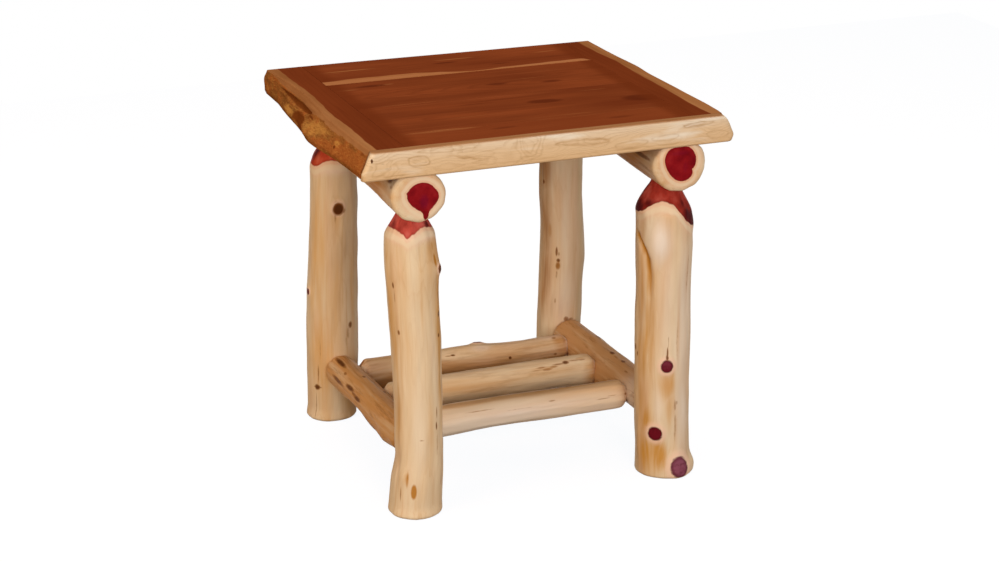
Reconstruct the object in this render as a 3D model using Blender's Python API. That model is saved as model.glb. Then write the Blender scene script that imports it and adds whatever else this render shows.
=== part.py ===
"""Rustic log nightstand.

Four peeled logs stand on the floor and carry two log beams on cone-cut tenons. A plank top with live-edge end
boards lies on the beams, and three shelf slats run low down between two side stretchers.
Metres, +Z up, front towards -Y. The origin is on the floor under the middle of the top.
"""

import math

import bmesh
import bpy
from mathutils import Matrix, Vector

# Overall sizes and the gap left between pieces that touch
HEIGHT = 0.610
TOP_WIDTH = 0.580
TOP_DEPTH = 0.533
TOP_THICKNESS = 0.0415
CLEARANCE = 0.0003

# Top: end boards with live edges, planks between them and a strip along the front
END_BOARD_LEFT = 0.062
END_BOARD_RIGHT = 0.045
FRONT_EDGE_DEPTH = 0.0155
FRONT_EDGE_ROUND = 0.003
PLANK_SHARES = (0.254, 0.310, 0.310, 0.126)
RIDGE_DROP = 0.010
RIDGE_ROUND = 0.006
BELLY_RISE = 0.008
BELLY_ROUND = 0.002
LIVE_EDGE_STEPS = 2

# Live edges, back to front: share of the depth, then how far ridge and belly lie outside half the top's width
LEFT_EDGE = (
    (0.00, 0.001, 0.002),
    (0.17, -0.006, 0.003),
    (0.30, -0.008, 0.006),
    (0.40, -0.006, 0.010),
    (0.55, 0.000, 0.022),
    (0.65, 0.003, 0.019),
    (0.77, 0.002, 0.014),
    (1.00, -0.001, 0.010),
)
RIGHT_EDGE = (
    (0.00, 0.003, 0.012),
    (0.27, 0.006, 0.014),
    (0.38, 0.011, 0.019),
    (0.46, 0.008, 0.016),
    (0.63, 0.013, 0.021),
    (0.85, 0.013, 0.022),
    (1.00, 0.010, 0.022),
)

# Joinery inside the top
SPLINE_WIDTH = 0.020
SPLINE_THICKNESS = 0.010
SPLINE_INSET = 0.020
DOWEL_RADIUS = 0.005
DOWEL_LENGTH = 0.040
DOWEL_PITCH = 0.150
DOWEL_CHAMFER = 0.001
EDGE_DOWEL_RADIUS = 0.004
EDGE_DOWEL_IN_STRIP = 0.008
EDGE_DOWEL_IN_PLANK = 0.016
EDGE_DOWEL_PITCH = 0.120
EDGE_DOWELS = 4

# Log base: leg rows in from the edges of the top, beams and the height of the side stretchers at either end
LEG_INSET_X = 0.07375
LEG_INSET_Y = 0.0505
BASE_SHIFT_X = 0.0067
BEAM_RADIUS = 0.042
BEAM_FLAT_DEPTH = 0.0065
BEAM_END_INSET = 0.0055
BEAM_END_ROUND = 0.008
FOOT_ROUND = 0.006
STRETCHER_HEIGHT_FRONT = 0.109
STRETCHER_HEIGHT_BACK = 0.098

# Round tenons: radius, length past the neck, depth of the neck under the mating surface, angle of the cone
LEG_TENON_RADIUS = 0.019
LEG_TENON_LENGTH = 0.037
LEG_SEAT = 0.008
LEG_CONE_ANGLE = math.radians(29)
STRETCHER_TENON_RADIUS = 0.019
STRETCHER_TENON_LENGTH = 0.038
STRETCHER_SEAT = 0.006
STRETCHER_CONE_ANGLE = math.radians(40)
SLAT_TENON_RADIUS = 0.0125
SLAT_TENON_LENGTH = 0.024
SLAT_SEAT = 0.003
SLAT_CONE_ANGLE = math.radians(55)
TENON_CHAMFER = 0.002

# Screws and nails
TENON_SCREW_RADIUS = 0.003
TENON_SCREW_HEAD_RADIUS = 0.006
TENON_SCREW_HEAD_HEIGHT = 0.004
TENON_SCREW_LENGTH = 0.065
TENON_SCREW_SINK = 0.001
TOP_SCREW_RADIUS = 0.0025
TOP_SCREW_HEAD_RADIUS = 0.005
TOP_SCREW_HEAD_HEIGHT = 0.0035
TOP_SCREW_BITE = 0.025
TOP_SCREW_SINK = 0.012
TOP_SCREW_INSET = 0.010
NAIL_RADIUS = 0.0015
NAIL_HEAD_RADIUS = 0.0022
NAIL_HEAD_HEIGHT = 0.002
NAIL_LENGTH = 0.034
NAIL_SINK = 0.002
NAIL_INSET = 0.006
POINT_LENGTH = 0.005
POINT_RADIUS_SHARE = 0.3

# Facets: sides of a log, sides of a fastener, rings along each kind of log, steps of a rounded end
LOG_SIDES = 20
PIN_SIDES = 8
LEG_RINGS = 9
BEAM_RINGS = 6
RAIL_RINGS = 6
ROUND_STEPS = 3
CUTTER_REACH = 0.030
SHARP_ANGLE = math.radians(40)
UPRIGHT = 0.99

# Legs: side, end, shift of the tenon from the beam's axis and the leg row, then stations up the log.
# A station is the share of the log's length, the two offsets from the tenon's axis and the radius.
LEGS = {
    "leg_front_left": (-1, -1, (-0.0005, -0.002), (
        (0.00, 0.003, 0.0, 0.0415),
        (0.11, 0.0046, 0.0, 0.042),
        (0.20, 0.009, 0.0, 0.040),
        (0.62, 0.007, 0.0, 0.039),
        (0.75, 0.0034, 0.0, 0.0395),
        (0.88, 0.0026, 0.0, 0.0415),
        (1.00, 0.0, 0.0, 0.038),
    )),
    "leg_front_right": (1, -1, (-0.005, -0.002), (
        (0.00, 0.008, 0.0, 0.0455),
        (0.20, 0.0053, 0.0, 0.0446),
        (0.50, 0.0027, 0.0, 0.0449),
        (0.80, 0.0018, 0.0, 0.045),
        (0.93, 0.002, 0.0, 0.046),
        (1.00, 0.0, 0.0, 0.044),
    )),
    "leg_back_left": (-1, 1, (0.0055, -0.031), (
        (0.00, -0.0042, 0.028, 0.0415),
        (0.24, -0.003, 0.020, 0.0446),
        (0.45, -0.0028, 0.0185, 0.0442),
        (0.67, -0.0014, 0.009, 0.0415),
        (0.85, -0.0002, 0.0015, 0.041),
        (1.00, 0.0, 0.0, 0.040),
    )),
    "leg_back_right": (1, 1, (0.0015, -0.0015), (
        (0.00, 0.0, 0.0, 0.041),
        (0.26, -0.0018, 0.0, 0.0386),
        (0.50, 0.0039, 0.0, 0.0403),
        (0.60, 0.004, 0.0, 0.039),
        (0.72, 0.001, 0.0, 0.0375),
        (0.87, 0.0003, 0.0, 0.0382),
        (1.00, 0.0, 0.0, 0.038),
    )),
}

# Beams, front to back: how much thicker the log is than the beam radius at each share of its length
BEAMS = {
    "beam_left": (-1, ((0.0, 0.0), (0.2, -0.003), (0.5, -0.004), (0.8, -0.002), (1.0, 0.0))),
    "beam_right": (1, ((0.0, 0.0), (0.2, -0.002), (0.5, -0.004), (0.8, -0.003), (1.0, 0.0))),
}

# Stretchers, front leg to back leg: share of length, offset sideways, offset upwards, radius
STRETCHERS = {
    "stretcher_left": (-1, (
        (0.00, 0.0, 0.0, 0.0285),
        (0.18, 0.001, -0.001, 0.0285),
        (0.40, 0.001, 0.0, 0.0264),
        (0.60, 0.0, -0.001, 0.0265),
        (0.80, 0.001, 0.0, 0.0275),
        (1.00, 0.0, 0.0, 0.0275),
    )),
    "stretcher_right": (1, (
        (0.00, 0.0, 0.0, 0.030),
        (0.30, 0.0, 0.001, 0.0295),
        (0.65, -0.001, 0.0, 0.0298),
        (1.00, 0.0, 0.0, 0.030),
    )),
}

# Slats, left stretcher to right stretcher: share of the leg spacing back from its middle, then stations
SLATS = {
    "slat_front": (-0.301, (
        (0.00, 0.0, 0.0, 0.0235),
        (0.35, 0.0, 0.001, 0.0238),
        (0.70, 0.0, 0.0, 0.0236),
        (1.00, 0.0, 0.0, 0.0232),
    )),
    "slat_middle": (0.0, (
        (0.00, 0.0, 0.0, 0.0255),
        (0.50, 0.0, 0.0, 0.0262),
        (1.00, 0.0, 0.0, 0.0252),
    )),
    "slat_back": (0.280, (
        (0.00, 0.0, 0.0, 0.0225),
        (0.30, 0.0, 0.003, 0.0238),
        (0.55, 0.0, -0.002, 0.0225),
        (1.00, 0.0, 0.0, 0.0228),
    )),
}

# Places worked out from the sizes above
UNDERSIDE = HEIGHT - TOP_THICKNESS
TOP_MIDDLE = HEIGHT - TOP_THICKNESS / 2
FRONT_Y = -TOP_DEPTH / 2
BACK_Y = TOP_DEPTH / 2
STRIP_BACK_Y = FRONT_Y + FRONT_EDGE_DEPTH
LEG_SPACING_X = TOP_WIDTH - 2 * LEG_INSET_X
LEG_SPACING_Y = TOP_DEPTH - 2 * LEG_INSET_Y
JOINT_LEFT_X = -TOP_WIDTH / 2 + END_BOARD_LEFT
JOINT_RIGHT_X = TOP_WIDTH / 2 - END_BOARD_RIGHT
BEAM_AXIS_Z = UNDERSIDE - CLEARANCE + BEAM_FLAT_DEPTH - BEAM_RADIUS
BEAM_BOTTOM_Z = BEAM_AXIS_Z - BEAM_RADIUS
NECK_Z = BEAM_BOTTOM_Z + LEG_SEAT
HALF_GAP = CLEARANCE / 2


def clear_scene():
    for obj in list(bpy.data.objects):
        bpy.data.objects.remove(obj, do_unlink=True)


def make_material(name, colour, roughness, metallic=0.0):
    material = bpy.data.materials.new(name)
    material.use_nodes = True
    shader = material.node_tree.nodes["Principled BSDF"]
    shader.inputs["Base Color"].default_value = (*colour, 1.0)
    shader.inputs["Roughness"].default_value = roughness
    shader.inputs["Metallic"].default_value = metallic
    return material


def side_word(side):
    return "left" if side < 0 else "right"


def end_word(end):
    return "front" if end < 0 else "back"


def find_span(stations, share):
    """Number of the station before a place, and how far from there to the next one the place lies."""
    index = 0
    while index < len(stations) - 2 and share > stations[index + 1][0]:
        index += 1
    start = stations[index][0]
    return index, (share - start) / (stations[index + 1][0] - start)


def curve_through(stations, share):
    """Values of a smooth curve through the stations, whose first value is the place along it."""
    index, t = find_span(stations, share)
    before = stations[max(index - 1, 0)]
    low = stations[index]
    high = stations[index + 1]
    after = stations[min(index + 2, len(stations) - 1)]
    span = high[0] - low[0]
    values = []
    for column in range(1, len(low)):
        slope_low = (high[column] - before[column]) / (high[0] - before[0]) * span
        slope_high = (after[column] - low[column]) / (after[0] - low[0]) * span
        values.append(
            (2 * t**3 - 3 * t**2 + 1) * low[column]
            + (t**3 - 2 * t**2 + t) * slope_low
            + (3 * t**2 - 2 * t**3) * high[column]
            + (t**3 - t**2) * slope_high
        )
    return values


def eased_between(stations, share):
    """As curve_through, but it never passes beyond the values of the two stations beside it."""
    index, t = find_span(stations, share)
    ease = t * t * (3 - 2 * t)
    return [a + (b - a) * ease for a, b in zip(stations[index][1:], stations[index + 1][1:])]


def frame_along(start, end):
    """Frame at start with its Z towards end. A level one has Y up, and an upright one keeps the world's X."""
    z_axis = (end - start).normalized()
    up = Vector((0, 0, 1))
    if abs(z_axis.dot(up)) > UPRIGHT:
        x_axis = Vector((1, 0, 0))
    else:
        x_axis = up.cross(z_axis).normalized()
    y_axis = z_axis.cross(x_axis)
    turn = Matrix((x_axis, y_axis, z_axis)).transposed().to_4x4()
    return Matrix.Translation(start) @ turn


def make_object(name, bm, matrix, material):
    bmesh.ops.recalc_face_normals(bm, faces=bm.faces)
    mesh = bpy.data.meshes.new(name)
    bm.to_mesh(mesh)
    bm.free()
    mesh.shade_smooth()
    mesh.set_sharp_from_angle(angle=SHARP_ANGLE)
    obj = bpy.data.objects.new(name, mesh)
    obj.matrix_world = matrix
    bpy.context.scene.collection.objects.link(obj)
    if material is None:
        obj.hide_render = True
        obj.display_type = "WIRE"
    else:
        mesh.materials.append(material)
    return obj


def loft(sections):
    """Closed body through sections that have the same number of points."""
    bm = bmesh.new()
    rings = [[bm.verts.new(point) for point in section] for section in sections]
    count = len(rings[0])
    for lower, upper in zip(rings, rings[1:]):
        for i in range(count):
            j = (i + 1) % count
            bm.faces.new((lower[i], lower[j], upper[j], upper[i]))
    bm.faces.new(list(reversed(rings[0])))
    bm.faces.new(rings[-1])
    return bm


def turned(name, rings, sides, matrix, material, turn=0.0):
    """Round body along local Z. A ring is the place along Z, the two offsets of its centre and its radius.

    Its corners are turned by the given number of facets.
    """
    angles = [2 * math.pi * (i + turn) / sides for i in range(sides)]
    sections = []
    for along, x, y, radius in rings:
        sections.append([(x + radius * math.cos(a), y + radius * math.sin(a), along) for a in angles])
    return make_object(name, loft(sections), matrix, material)


def pin(name, rings, matrix, material):
    """Fastener, dowel or its hole, turned half a facet so that its corners miss the edges of the logs."""
    return turned(name, rings, PIN_SIDES, matrix, material, turn=0.5)


def box(name, low, high, material):
    bm = bmesh.new()
    size = [b - a for a, b in zip(low, high)]
    middle = [(a + b) / 2 for a, b in zip(low, high)]
    bmesh.ops.create_cube(bm, size=1.0, matrix=Matrix.Diagonal((*size, 1.0)))
    return make_object(name, bm, Matrix.Translation(middle), material)


def cut(obj, *cutters):
    for cutter in cutters:
        modifier = obj.modifiers.new(cutter.name, "BOOLEAN")
        modifier.operation = "DIFFERENCE"
        modifier.solver = "EXACT"
        modifier.object = cutter


class Log:
    """A log from start to end, with stations of share, two offsets and radius, and the solid made from it."""

    def __init__(self, name, start, end, stations):
        self.name = name
        self.stations = stations
        self.length = (end - start).length
        self.matrix = frame_along(start, end)
        self.solid = None

    def at(self, along):
        return curve_through(self.stations, along / self.length)

    def radius(self, along):
        return self.at(along)[2]

    def end_radius(self, outwards):
        """Radius at the end that outwards points to, 1 for the end of the log and -1 for its start."""
        return self.stations[-1 if outwards > 0 else 0][3]

    def centre(self, along):
        x, y, radius = self.at(along)
        return self.matrix @ Vector((x, y, along))

    def body(self, first, last, count):
        """Rings of the bare log between two places along it."""
        rings = []
        for i in range(count):
            along = first + (last - first) * i / (count - 1)
            rings.append((along, *self.at(along)))
        return rings

    def rounded_end(self, along, inwards, round_size):
        """Rings of a flat end at one place with its edge rounded, the outermost ring first."""
        rings = []
        for i in range(ROUND_STEPS):
            turn = math.pi / 2 * i / ROUND_STEPS
            place = along + inwards * round_size * (1 - math.cos(turn))
            x, y, radius = self.at(place)
            rings.append((place, x, y, radius - round_size * (1 - math.sin(turn))))
        return rings

    def build(self, rings, material):
        self.solid = turned(self.name, rings, LOG_SIDES, self.matrix, material)


def tenon_rings(neck, outwards, radius, length):
    """Rings of a round tenon from its neck to its chamfered end. Outwards is 1 or -1 along the log."""
    end = neck + outwards * length
    return [
        (neck, 0.0, 0.0, radius),
        (end - outwards * TENON_CHAMFER, 0.0, 0.0, radius),
        (end, 0.0, 0.0, radius - TENON_CHAMFER),
    ]


def cone_height(log_radius, tenon_radius, angle):
    return (log_radius - tenon_radius) / math.tan(angle)


def mortise(name, log, neck, outwards, radius, length, angle):
    """Cutter for a tenon and for the seat of its cone, larger than both by the clearance."""
    end = neck + outwards * (length + CLEARANCE)
    height = cone_height(log.end_radius(outwards), radius, angle)
    x, y, shoulder_radius = log.at(neck - outwards * height)
    reach = CUTTER_REACH / height
    wide = radius + CLEARANCE / math.cos(angle)
    rings = [
        (neck - outwards * CUTTER_REACH, x * reach, y * reach, wide + (shoulder_radius - radius) * reach),
        (neck, 0.0, 0.0, wide),
        (end, 0.0, 0.0, wide),
    ]
    return turned(name, rings, LOG_SIDES, log.matrix, None)


def fastener(name, base, direction, length, radius, head_radius, head_height, material):
    """Screw or nail whose head starts at base and whose point lies length away along direction."""
    rings = [
        (0.0, 0.0, 0.0, head_radius),
        (head_height, 0.0, 0.0, head_radius),
        (head_height, 0.0, 0.0, radius),
        (length - POINT_LENGTH, 0.0, 0.0, radius),
        (length, 0.0, 0.0, radius * POINT_RADIUS_SHARE),
    ]
    return pin(name, rings, frame_along(base, base + direction), material)


def fastener_hole(name, base, direction, length, radius, head_radius, head_height):
    rings = [
        (-CUTTER_REACH, 0.0, 0.0, head_radius + CLEARANCE),
        (head_height + CLEARANCE, 0.0, 0.0, head_radius + CLEARANCE),
        (head_height + CLEARANCE, 0.0, 0.0, radius + CLEARANCE),
        (length + CLEARANCE, 0.0, 0.0, radius + CLEARANCE),
    ]
    return pin(name, rings, frame_along(base, base + direction), None)


def dowel(name, start, end, radius, material):
    """Chamfered dowel and the cutter for its two holes."""
    length = (end - start).length
    frame = frame_along(start, end)
    rings = [
        (0.0, 0.0, 0.0, radius - DOWEL_CHAMFER),
        (DOWEL_CHAMFER, 0.0, 0.0, radius),
        (length - DOWEL_CHAMFER, 0.0, 0.0, radius),
        (length, 0.0, 0.0, radius - DOWEL_CHAMFER),
    ]
    pin(name, rings, frame, material)
    hole = [(-CLEARANCE, 0.0, 0.0, radius + CLEARANCE), (length + CLEARANCE, 0.0, 0.0, radius + CLEARANCE)]
    return pin("hole_" + name, hole, frame, None)


def build_legs(sapwood):
    legs = {}
    for name, (side, end, shift, stations) in LEGS.items():
        x = BASE_SHIFT_X + side * LEG_SPACING_X / 2 + shift[0]
        y = end * LEG_SPACING_Y / 2 + shift[1]
        top_radius = stations[-1][3]
        shoulder = NECK_Z - cone_height(top_radius, LEG_TENON_RADIUS, LEG_CONE_ANGLE)
        leg = Log(name, Vector((x, y, 0.0)), Vector((x, y, shoulder)), stations)
        rings = leg.rounded_end(0.0, 1, FOOT_ROUND)
        rings += leg.body(FOOT_ROUND, shoulder, LEG_RINGS)
        rings += tenon_rings(NECK_Z, 1, LEG_TENON_RADIUS, LEG_TENON_LENGTH)
        leg.build(rings, sapwood)
        legs[side, end] = leg
    return legs


def build_beams(sapwood):
    beams = {}
    front = FRONT_Y + BEAM_END_INSET
    back = BACK_Y - BEAM_END_INSET
    for name, (side, swells) in BEAMS.items():
        x = BASE_SHIFT_X + side * LEG_SPACING_X / 2
        stations = [(share, 0.0, 0.0, BEAM_RADIUS + swell) for share, swell in swells]
        beam = Log(name, Vector((x, front, BEAM_AXIS_Z)), Vector((x, back, BEAM_AXIS_Z)), stations)
        rings = beam.rounded_end(0.0, 1, BEAM_END_ROUND)
        rings += beam.body(BEAM_END_ROUND, beam.length - BEAM_END_ROUND, BEAM_RINGS)
        rings += reversed(beam.rounded_end(beam.length, -1, BEAM_END_ROUND))
        beam.build(rings, sapwood)
        flat_z = UNDERSIDE - CLEARANCE
        low = (x - BEAM_RADIUS - CUTTER_REACH, front - CUTTER_REACH, flat_z)
        high = (x + BEAM_RADIUS + CUTTER_REACH, back + CUTTER_REACH, flat_z + CUTTER_REACH)
        cut(beam.solid, box("flat_" + name, low, high, None))
        beams[side] = beam
    return beams


def join_legs_to_beams(legs, beams, steel):
    down = Vector((0, 0, -1))
    for (side, end), leg in legs.items():
        place = f"{end_word(end)}_{side_word(side)}"
        tenon = (LEG_TENON_RADIUS, LEG_TENON_LENGTH, LEG_CONE_ANGLE)
        cut(beams[side].solid, mortise("mortise_" + leg.name, leg, NECK_Z, 1, *tenon))
        base = leg.matrix.translation.copy()
        base.z = UNDERSIDE - CLEARANCE - TENON_SCREW_SINK
        sizes = (TENON_SCREW_LENGTH, TENON_SCREW_RADIUS, TENON_SCREW_HEAD_RADIUS, TENON_SCREW_HEAD_HEIGHT)
        fastener("tenon_screw_" + place, base, down, *sizes, steel)
        bore = fastener_hole("hole_tenon_screw_" + place, base, down, *sizes)
        cut(beams[side].solid, bore)
        cut(leg.solid, bore)


def tenoned_rail(log, neck_start, neck_end, radius, length, angle, material):
    """Log with a cone and a tenon at both ends, whose necks lie at the two given places along it."""
    first = neck_start + cone_height(log.end_radius(-1), radius, angle)
    last = neck_end - cone_height(log.end_radius(1), radius, angle)
    rings = list(reversed(tenon_rings(neck_start, -1, radius, length)))
    rings += log.body(first, last, RAIL_RINGS)
    rings += tenon_rings(neck_end, 1, radius, length)
    log.build(rings, material)


def build_stretchers(legs, sapwood):
    stretchers = {}
    sizes = (STRETCHER_TENON_RADIUS, STRETCHER_TENON_LENGTH, STRETCHER_CONE_ANGLE)
    for name, (side, stations) in STRETCHERS.items():
        front = legs[side, -1]
        back = legs[side, 1]
        rail = Log(name, front.centre(STRETCHER_HEIGHT_FRONT), back.centre(STRETCHER_HEIGHT_BACK), stations)
        neck_front = front.radius(STRETCHER_HEIGHT_FRONT) - STRETCHER_SEAT
        neck_back = rail.length - back.radius(STRETCHER_HEIGHT_BACK) + STRETCHER_SEAT
        tenoned_rail(rail, neck_front, neck_back, *sizes, sapwood)
        cut(front.solid, mortise(f"mortise_{name}_front", rail, neck_front, -1, *sizes))
        cut(back.solid, mortise(f"mortise_{name}_back", rail, neck_back, 1, *sizes))
        stretchers[side] = rail
    return stretchers


def along_at_depth(rail, y):
    """Place along a stretcher that lies at the given distance from the middle of the depth."""
    start = rail.matrix.translation
    direction = rail.matrix.to_3x3().col[2]
    return (y - start.y) / direction.y


def build_slats(stretchers, sapwood, steel):
    sizes = (SLAT_TENON_RADIUS, SLAT_TENON_LENGTH, SLAT_CONE_ANGLE)
    nail = (NAIL_LENGTH, NAIL_RADIUS, NAIL_HEAD_RADIUS, NAIL_HEAD_HEIGHT)
    up = Vector((0, 0, 1))
    for name, (share, stations) in SLATS.items():
        places = {side: along_at_depth(rail, share * LEG_SPACING_Y) for side, rail in stretchers.items()}
        slat = Log(name, stretchers[-1].centre(places[-1]), stretchers[1].centre(places[1]), stations)
        radii = {side: rail.radius(places[side]) for side, rail in stretchers.items()}
        necks = {-1: radii[-1] - SLAT_SEAT, 1: slat.length - radii[1] + SLAT_SEAT}
        tenoned_rail(slat, necks[-1], necks[1], *sizes, sapwood)
        for side, rail in stretchers.items():
            end_name = f"{name}_{side_word(side)}"
            cut(rail.solid, mortise("mortise_" + end_name, slat, necks[side], side, *sizes))
            base = rail.centre(places[side])
            base.x -= side * NAIL_INSET
            base.z += NAIL_SINK - radii[side]
            nail_name = end_name.replace("slat", "slat_nail")
            fastener(nail_name, base, up, *nail, steel)
            bore = fastener_hole("hole_" + nail_name, base, up, *nail)
            cut(rail.solid, bore)
            cut(slat.solid, bore)


def live_edge(stations, y):
    """Ridge and belly of a live edge at one place, as distances from the middle of the top."""
    share = (BACK_Y - y) / TOP_DEPTH
    return [TOP_WIDTH / 2 + overhang for overhang in eased_between(stations, share)]


def edge_profile(stations, y):
    """Outer points of the top's section at one place, from the underside up, as distance and height."""
    ridge, belly = live_edge(stations, y)
    return [
        (belly - BELLY_ROUND, UNDERSIDE),
        (belly, UNDERSIDE + BELLY_RISE),
        (ridge, HEIGHT - RIDGE_DROP),
        (ridge - RIDGE_ROUND, HEIGHT),
    ]


def build_end_boards(heartwood):
    boards = []
    front = STRIP_BACK_Y + HALF_GAP
    for name, side, joint, stations in (
        ("top_end_left", -1, JOINT_LEFT_X - HALF_GAP, LEFT_EDGE),
        ("top_end_right", 1, JOINT_RIGHT_X + HALF_GAP, RIGHT_EDGE),
    ):
        places = []
        for low, high in zip(stations, stations[1:]):
            for step in range(LIVE_EDGE_STEPS):
                share = low[0] + (high[0] - low[0]) * step / LIVE_EDGE_STEPS
                places.append(BACK_Y - share * TOP_DEPTH)
        places = [y for y in places if y > front + FRONT_EDGE_DEPTH / 2] + [front]
        sections = []
        for y in places:
            outer = [(side * x, y, z) for x, z in edge_profile(stations, y)]
            sections.append([(joint, y, UNDERSIDE), *outer, (joint, y, HEIGHT)])
        boards.append(make_object(name, loft(sections), Matrix(), heartwood))
    return boards


def plank_joints():
    """Edges of the planks from the back to the strip along the front."""
    edges = [BACK_Y]
    for share in PLANK_SHARES:
        edges.append(edges[-1] - share * (BACK_Y - STRIP_BACK_Y))
    return edges


def build_planks(heartwood):
    planks = []
    edges = plank_joints()
    for number, (back, front) in enumerate(zip(edges, edges[1:]), start=1):
        rear_gap = 0.0 if number == 1 else HALF_GAP
        low = (JOINT_LEFT_X + HALF_GAP, front + HALF_GAP, UNDERSIDE)
        high = (JOINT_RIGHT_X - HALF_GAP, back - rear_gap, HEIGHT)
        planks.append(box(f"top_plank_{number}", low, high, heartwood))
    return planks


def build_front_edge(sapwood):
    """Strip across the front, ending in the same profiles as the end boards, with its front edges rounded."""
    sections = []
    for y in (STRIP_BACK_Y - HALF_GAP, FRONT_Y):
        left = [(-x, y, z) for x, z in edge_profile(LEFT_EDGE, y)]
        right = [(x, y, z) for x, z in edge_profile(RIGHT_EDGE, y)]
        sections.append([*left, *reversed(right)])
    bm = loft(sections)
    front_edges = [edge for edge in bm.edges if all(abs(v.co.y - FRONT_Y) < HALF_GAP for v in edge.verts)]
    bmesh.ops.bevel(bm, geom=front_edges, offset=FRONT_EDGE_ROUND, segments=2, profile=0.5, affect="EDGES")
    return make_object("top_front_edge", bm, Matrix(), sapwood)


def join_top(boards, planks, strip, birch):
    edges = plank_joints()
    for board, joint in zip(boards, (JOINT_LEFT_X, JOINT_RIGHT_X)):
        half = Vector((SPLINE_WIDTH / 2, 0.0, SPLINE_THICKNESS / 2))
        low = Vector((joint, STRIP_BACK_Y + SPLINE_INSET, TOP_MIDDLE)) - half
        high = Vector((joint, BACK_Y - SPLINE_INSET, TOP_MIDDLE)) + half
        name = board.name.replace("top_end", "spline")
        box(name, low, high, birch)
        gap = Vector((CLEARANCE, CLEARANCE, CLEARANCE))
        groove = box("groove_" + name, low - gap, high + gap, None)
        for piece in (board, *planks):
            cut(piece, groove)
    middle_x = (JOINT_LEFT_X + JOINT_RIGHT_X) / 2
    along_joint = Vector((0.0, DOWEL_LENGTH / 2, 0.0))
    for number in range(1, len(planks)):
        for step, word in ((-1, "left"), (0, "middle"), (1, "right")):
            place = Vector((middle_x + step * DOWEL_PITCH, edges[number], TOP_MIDDLE))
            name = f"plank_dowel_{number}_{word}"
            hole = dowel(name, place - along_joint, place + along_joint, DOWEL_RADIUS, birch)
            cut(planks[number - 1], hole)
            cut(planks[number], hole)
    for number in range(EDGE_DOWELS):
        x = middle_x + (number - (EDGE_DOWELS - 1) / 2) * EDGE_DOWEL_PITCH
        start = Vector((x, STRIP_BACK_Y - EDGE_DOWEL_IN_STRIP, TOP_MIDDLE))
        end = Vector((x, STRIP_BACK_Y + EDGE_DOWEL_IN_PLANK, TOP_MIDDLE))
        hole = dowel(f"edge_dowel_{number + 1}", start, end, EDGE_DOWEL_RADIUS, birch)
        cut(strip, hole)
        cut(planks[-1], hole)


def fasten_top(beams, planks, steel):
    """Screws up through each beam into the two middle planks, with their heads sunk in the beam."""
    edges = plank_joints()
    up = Vector((0, 0, 1))
    for side, beam in beams.items():
        for end, plank in ((1, 1), (-1, 2)):
            y = (edges[plank] + edges[plank + 1]) / 2
            axis_x = beam.matrix.translation.x
            base = Vector((axis_x - side * TOP_SCREW_INSET, y, BEAM_BOTTOM_Z + TOP_SCREW_SINK))
            length = UNDERSIDE + TOP_SCREW_BITE - base.z
            sizes = (length, TOP_SCREW_RADIUS, TOP_SCREW_HEAD_RADIUS, TOP_SCREW_HEAD_HEIGHT)
            name = f"top_screw_{end_word(end)}_{side_word(side)}"
            fastener(name, base, up, *sizes, steel)
            bore = fastener_hole("hole_" + name, base, up, *sizes)
            cut(beam.solid, bore)
            cut(planks[plank], bore)


def main():
    clear_scene()
    sapwood = make_material("peeled_sapwood", (0.72, 0.49, 0.26), 0.38)
    heartwood = make_material("red_heartwood", (0.28, 0.075, 0.022), 0.35)
    pale_edge = make_material("pale_front_edge", (0.66, 0.42, 0.20), 0.38)
    birch = make_material("birch_dowel", (0.60, 0.44, 0.26), 0.6)
    steel = make_material("zinc_steel", (0.55, 0.55, 0.55), 0.35, 1.0)

    legs = build_legs(sapwood)
    beams = build_beams(sapwood)
    join_legs_to_beams(legs, beams, steel)
    stretchers = build_stretchers(legs, sapwood)
    build_slats(stretchers, sapwood, steel)

    boards = build_end_boards(heartwood)
    planks = build_planks(heartwood)
    strip = build_front_edge(pale_edge)
    join_top(boards, planks, strip, birch)
    fasten_top(beams, planks, steel)


main()
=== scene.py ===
import math

import bmesh
import bpy
import numpy as np
from mathutils import Matrix, Vector
from mathutils.bvhtree import BVHTree


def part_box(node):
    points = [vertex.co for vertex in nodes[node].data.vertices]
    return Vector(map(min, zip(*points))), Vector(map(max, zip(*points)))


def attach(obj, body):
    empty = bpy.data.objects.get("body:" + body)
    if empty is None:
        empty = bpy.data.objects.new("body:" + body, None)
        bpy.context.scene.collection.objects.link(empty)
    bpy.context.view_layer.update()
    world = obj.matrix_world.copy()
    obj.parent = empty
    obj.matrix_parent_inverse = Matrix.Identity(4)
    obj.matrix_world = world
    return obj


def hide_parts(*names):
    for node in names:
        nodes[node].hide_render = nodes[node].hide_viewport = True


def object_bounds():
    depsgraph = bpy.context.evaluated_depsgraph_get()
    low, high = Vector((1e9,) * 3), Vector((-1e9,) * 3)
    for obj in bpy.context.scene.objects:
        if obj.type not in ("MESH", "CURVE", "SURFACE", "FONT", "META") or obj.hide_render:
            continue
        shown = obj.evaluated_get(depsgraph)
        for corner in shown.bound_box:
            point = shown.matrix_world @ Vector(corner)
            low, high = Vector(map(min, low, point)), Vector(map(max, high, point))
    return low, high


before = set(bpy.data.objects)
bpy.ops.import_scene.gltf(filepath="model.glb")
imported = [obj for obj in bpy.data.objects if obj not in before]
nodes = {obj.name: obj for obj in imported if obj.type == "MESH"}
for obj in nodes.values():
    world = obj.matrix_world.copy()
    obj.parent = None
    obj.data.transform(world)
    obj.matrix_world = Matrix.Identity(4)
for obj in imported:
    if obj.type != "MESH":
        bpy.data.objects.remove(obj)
cad_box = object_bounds()
BODY = "root"
MM = 0.001
TURN = 2 * math.pi

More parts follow.
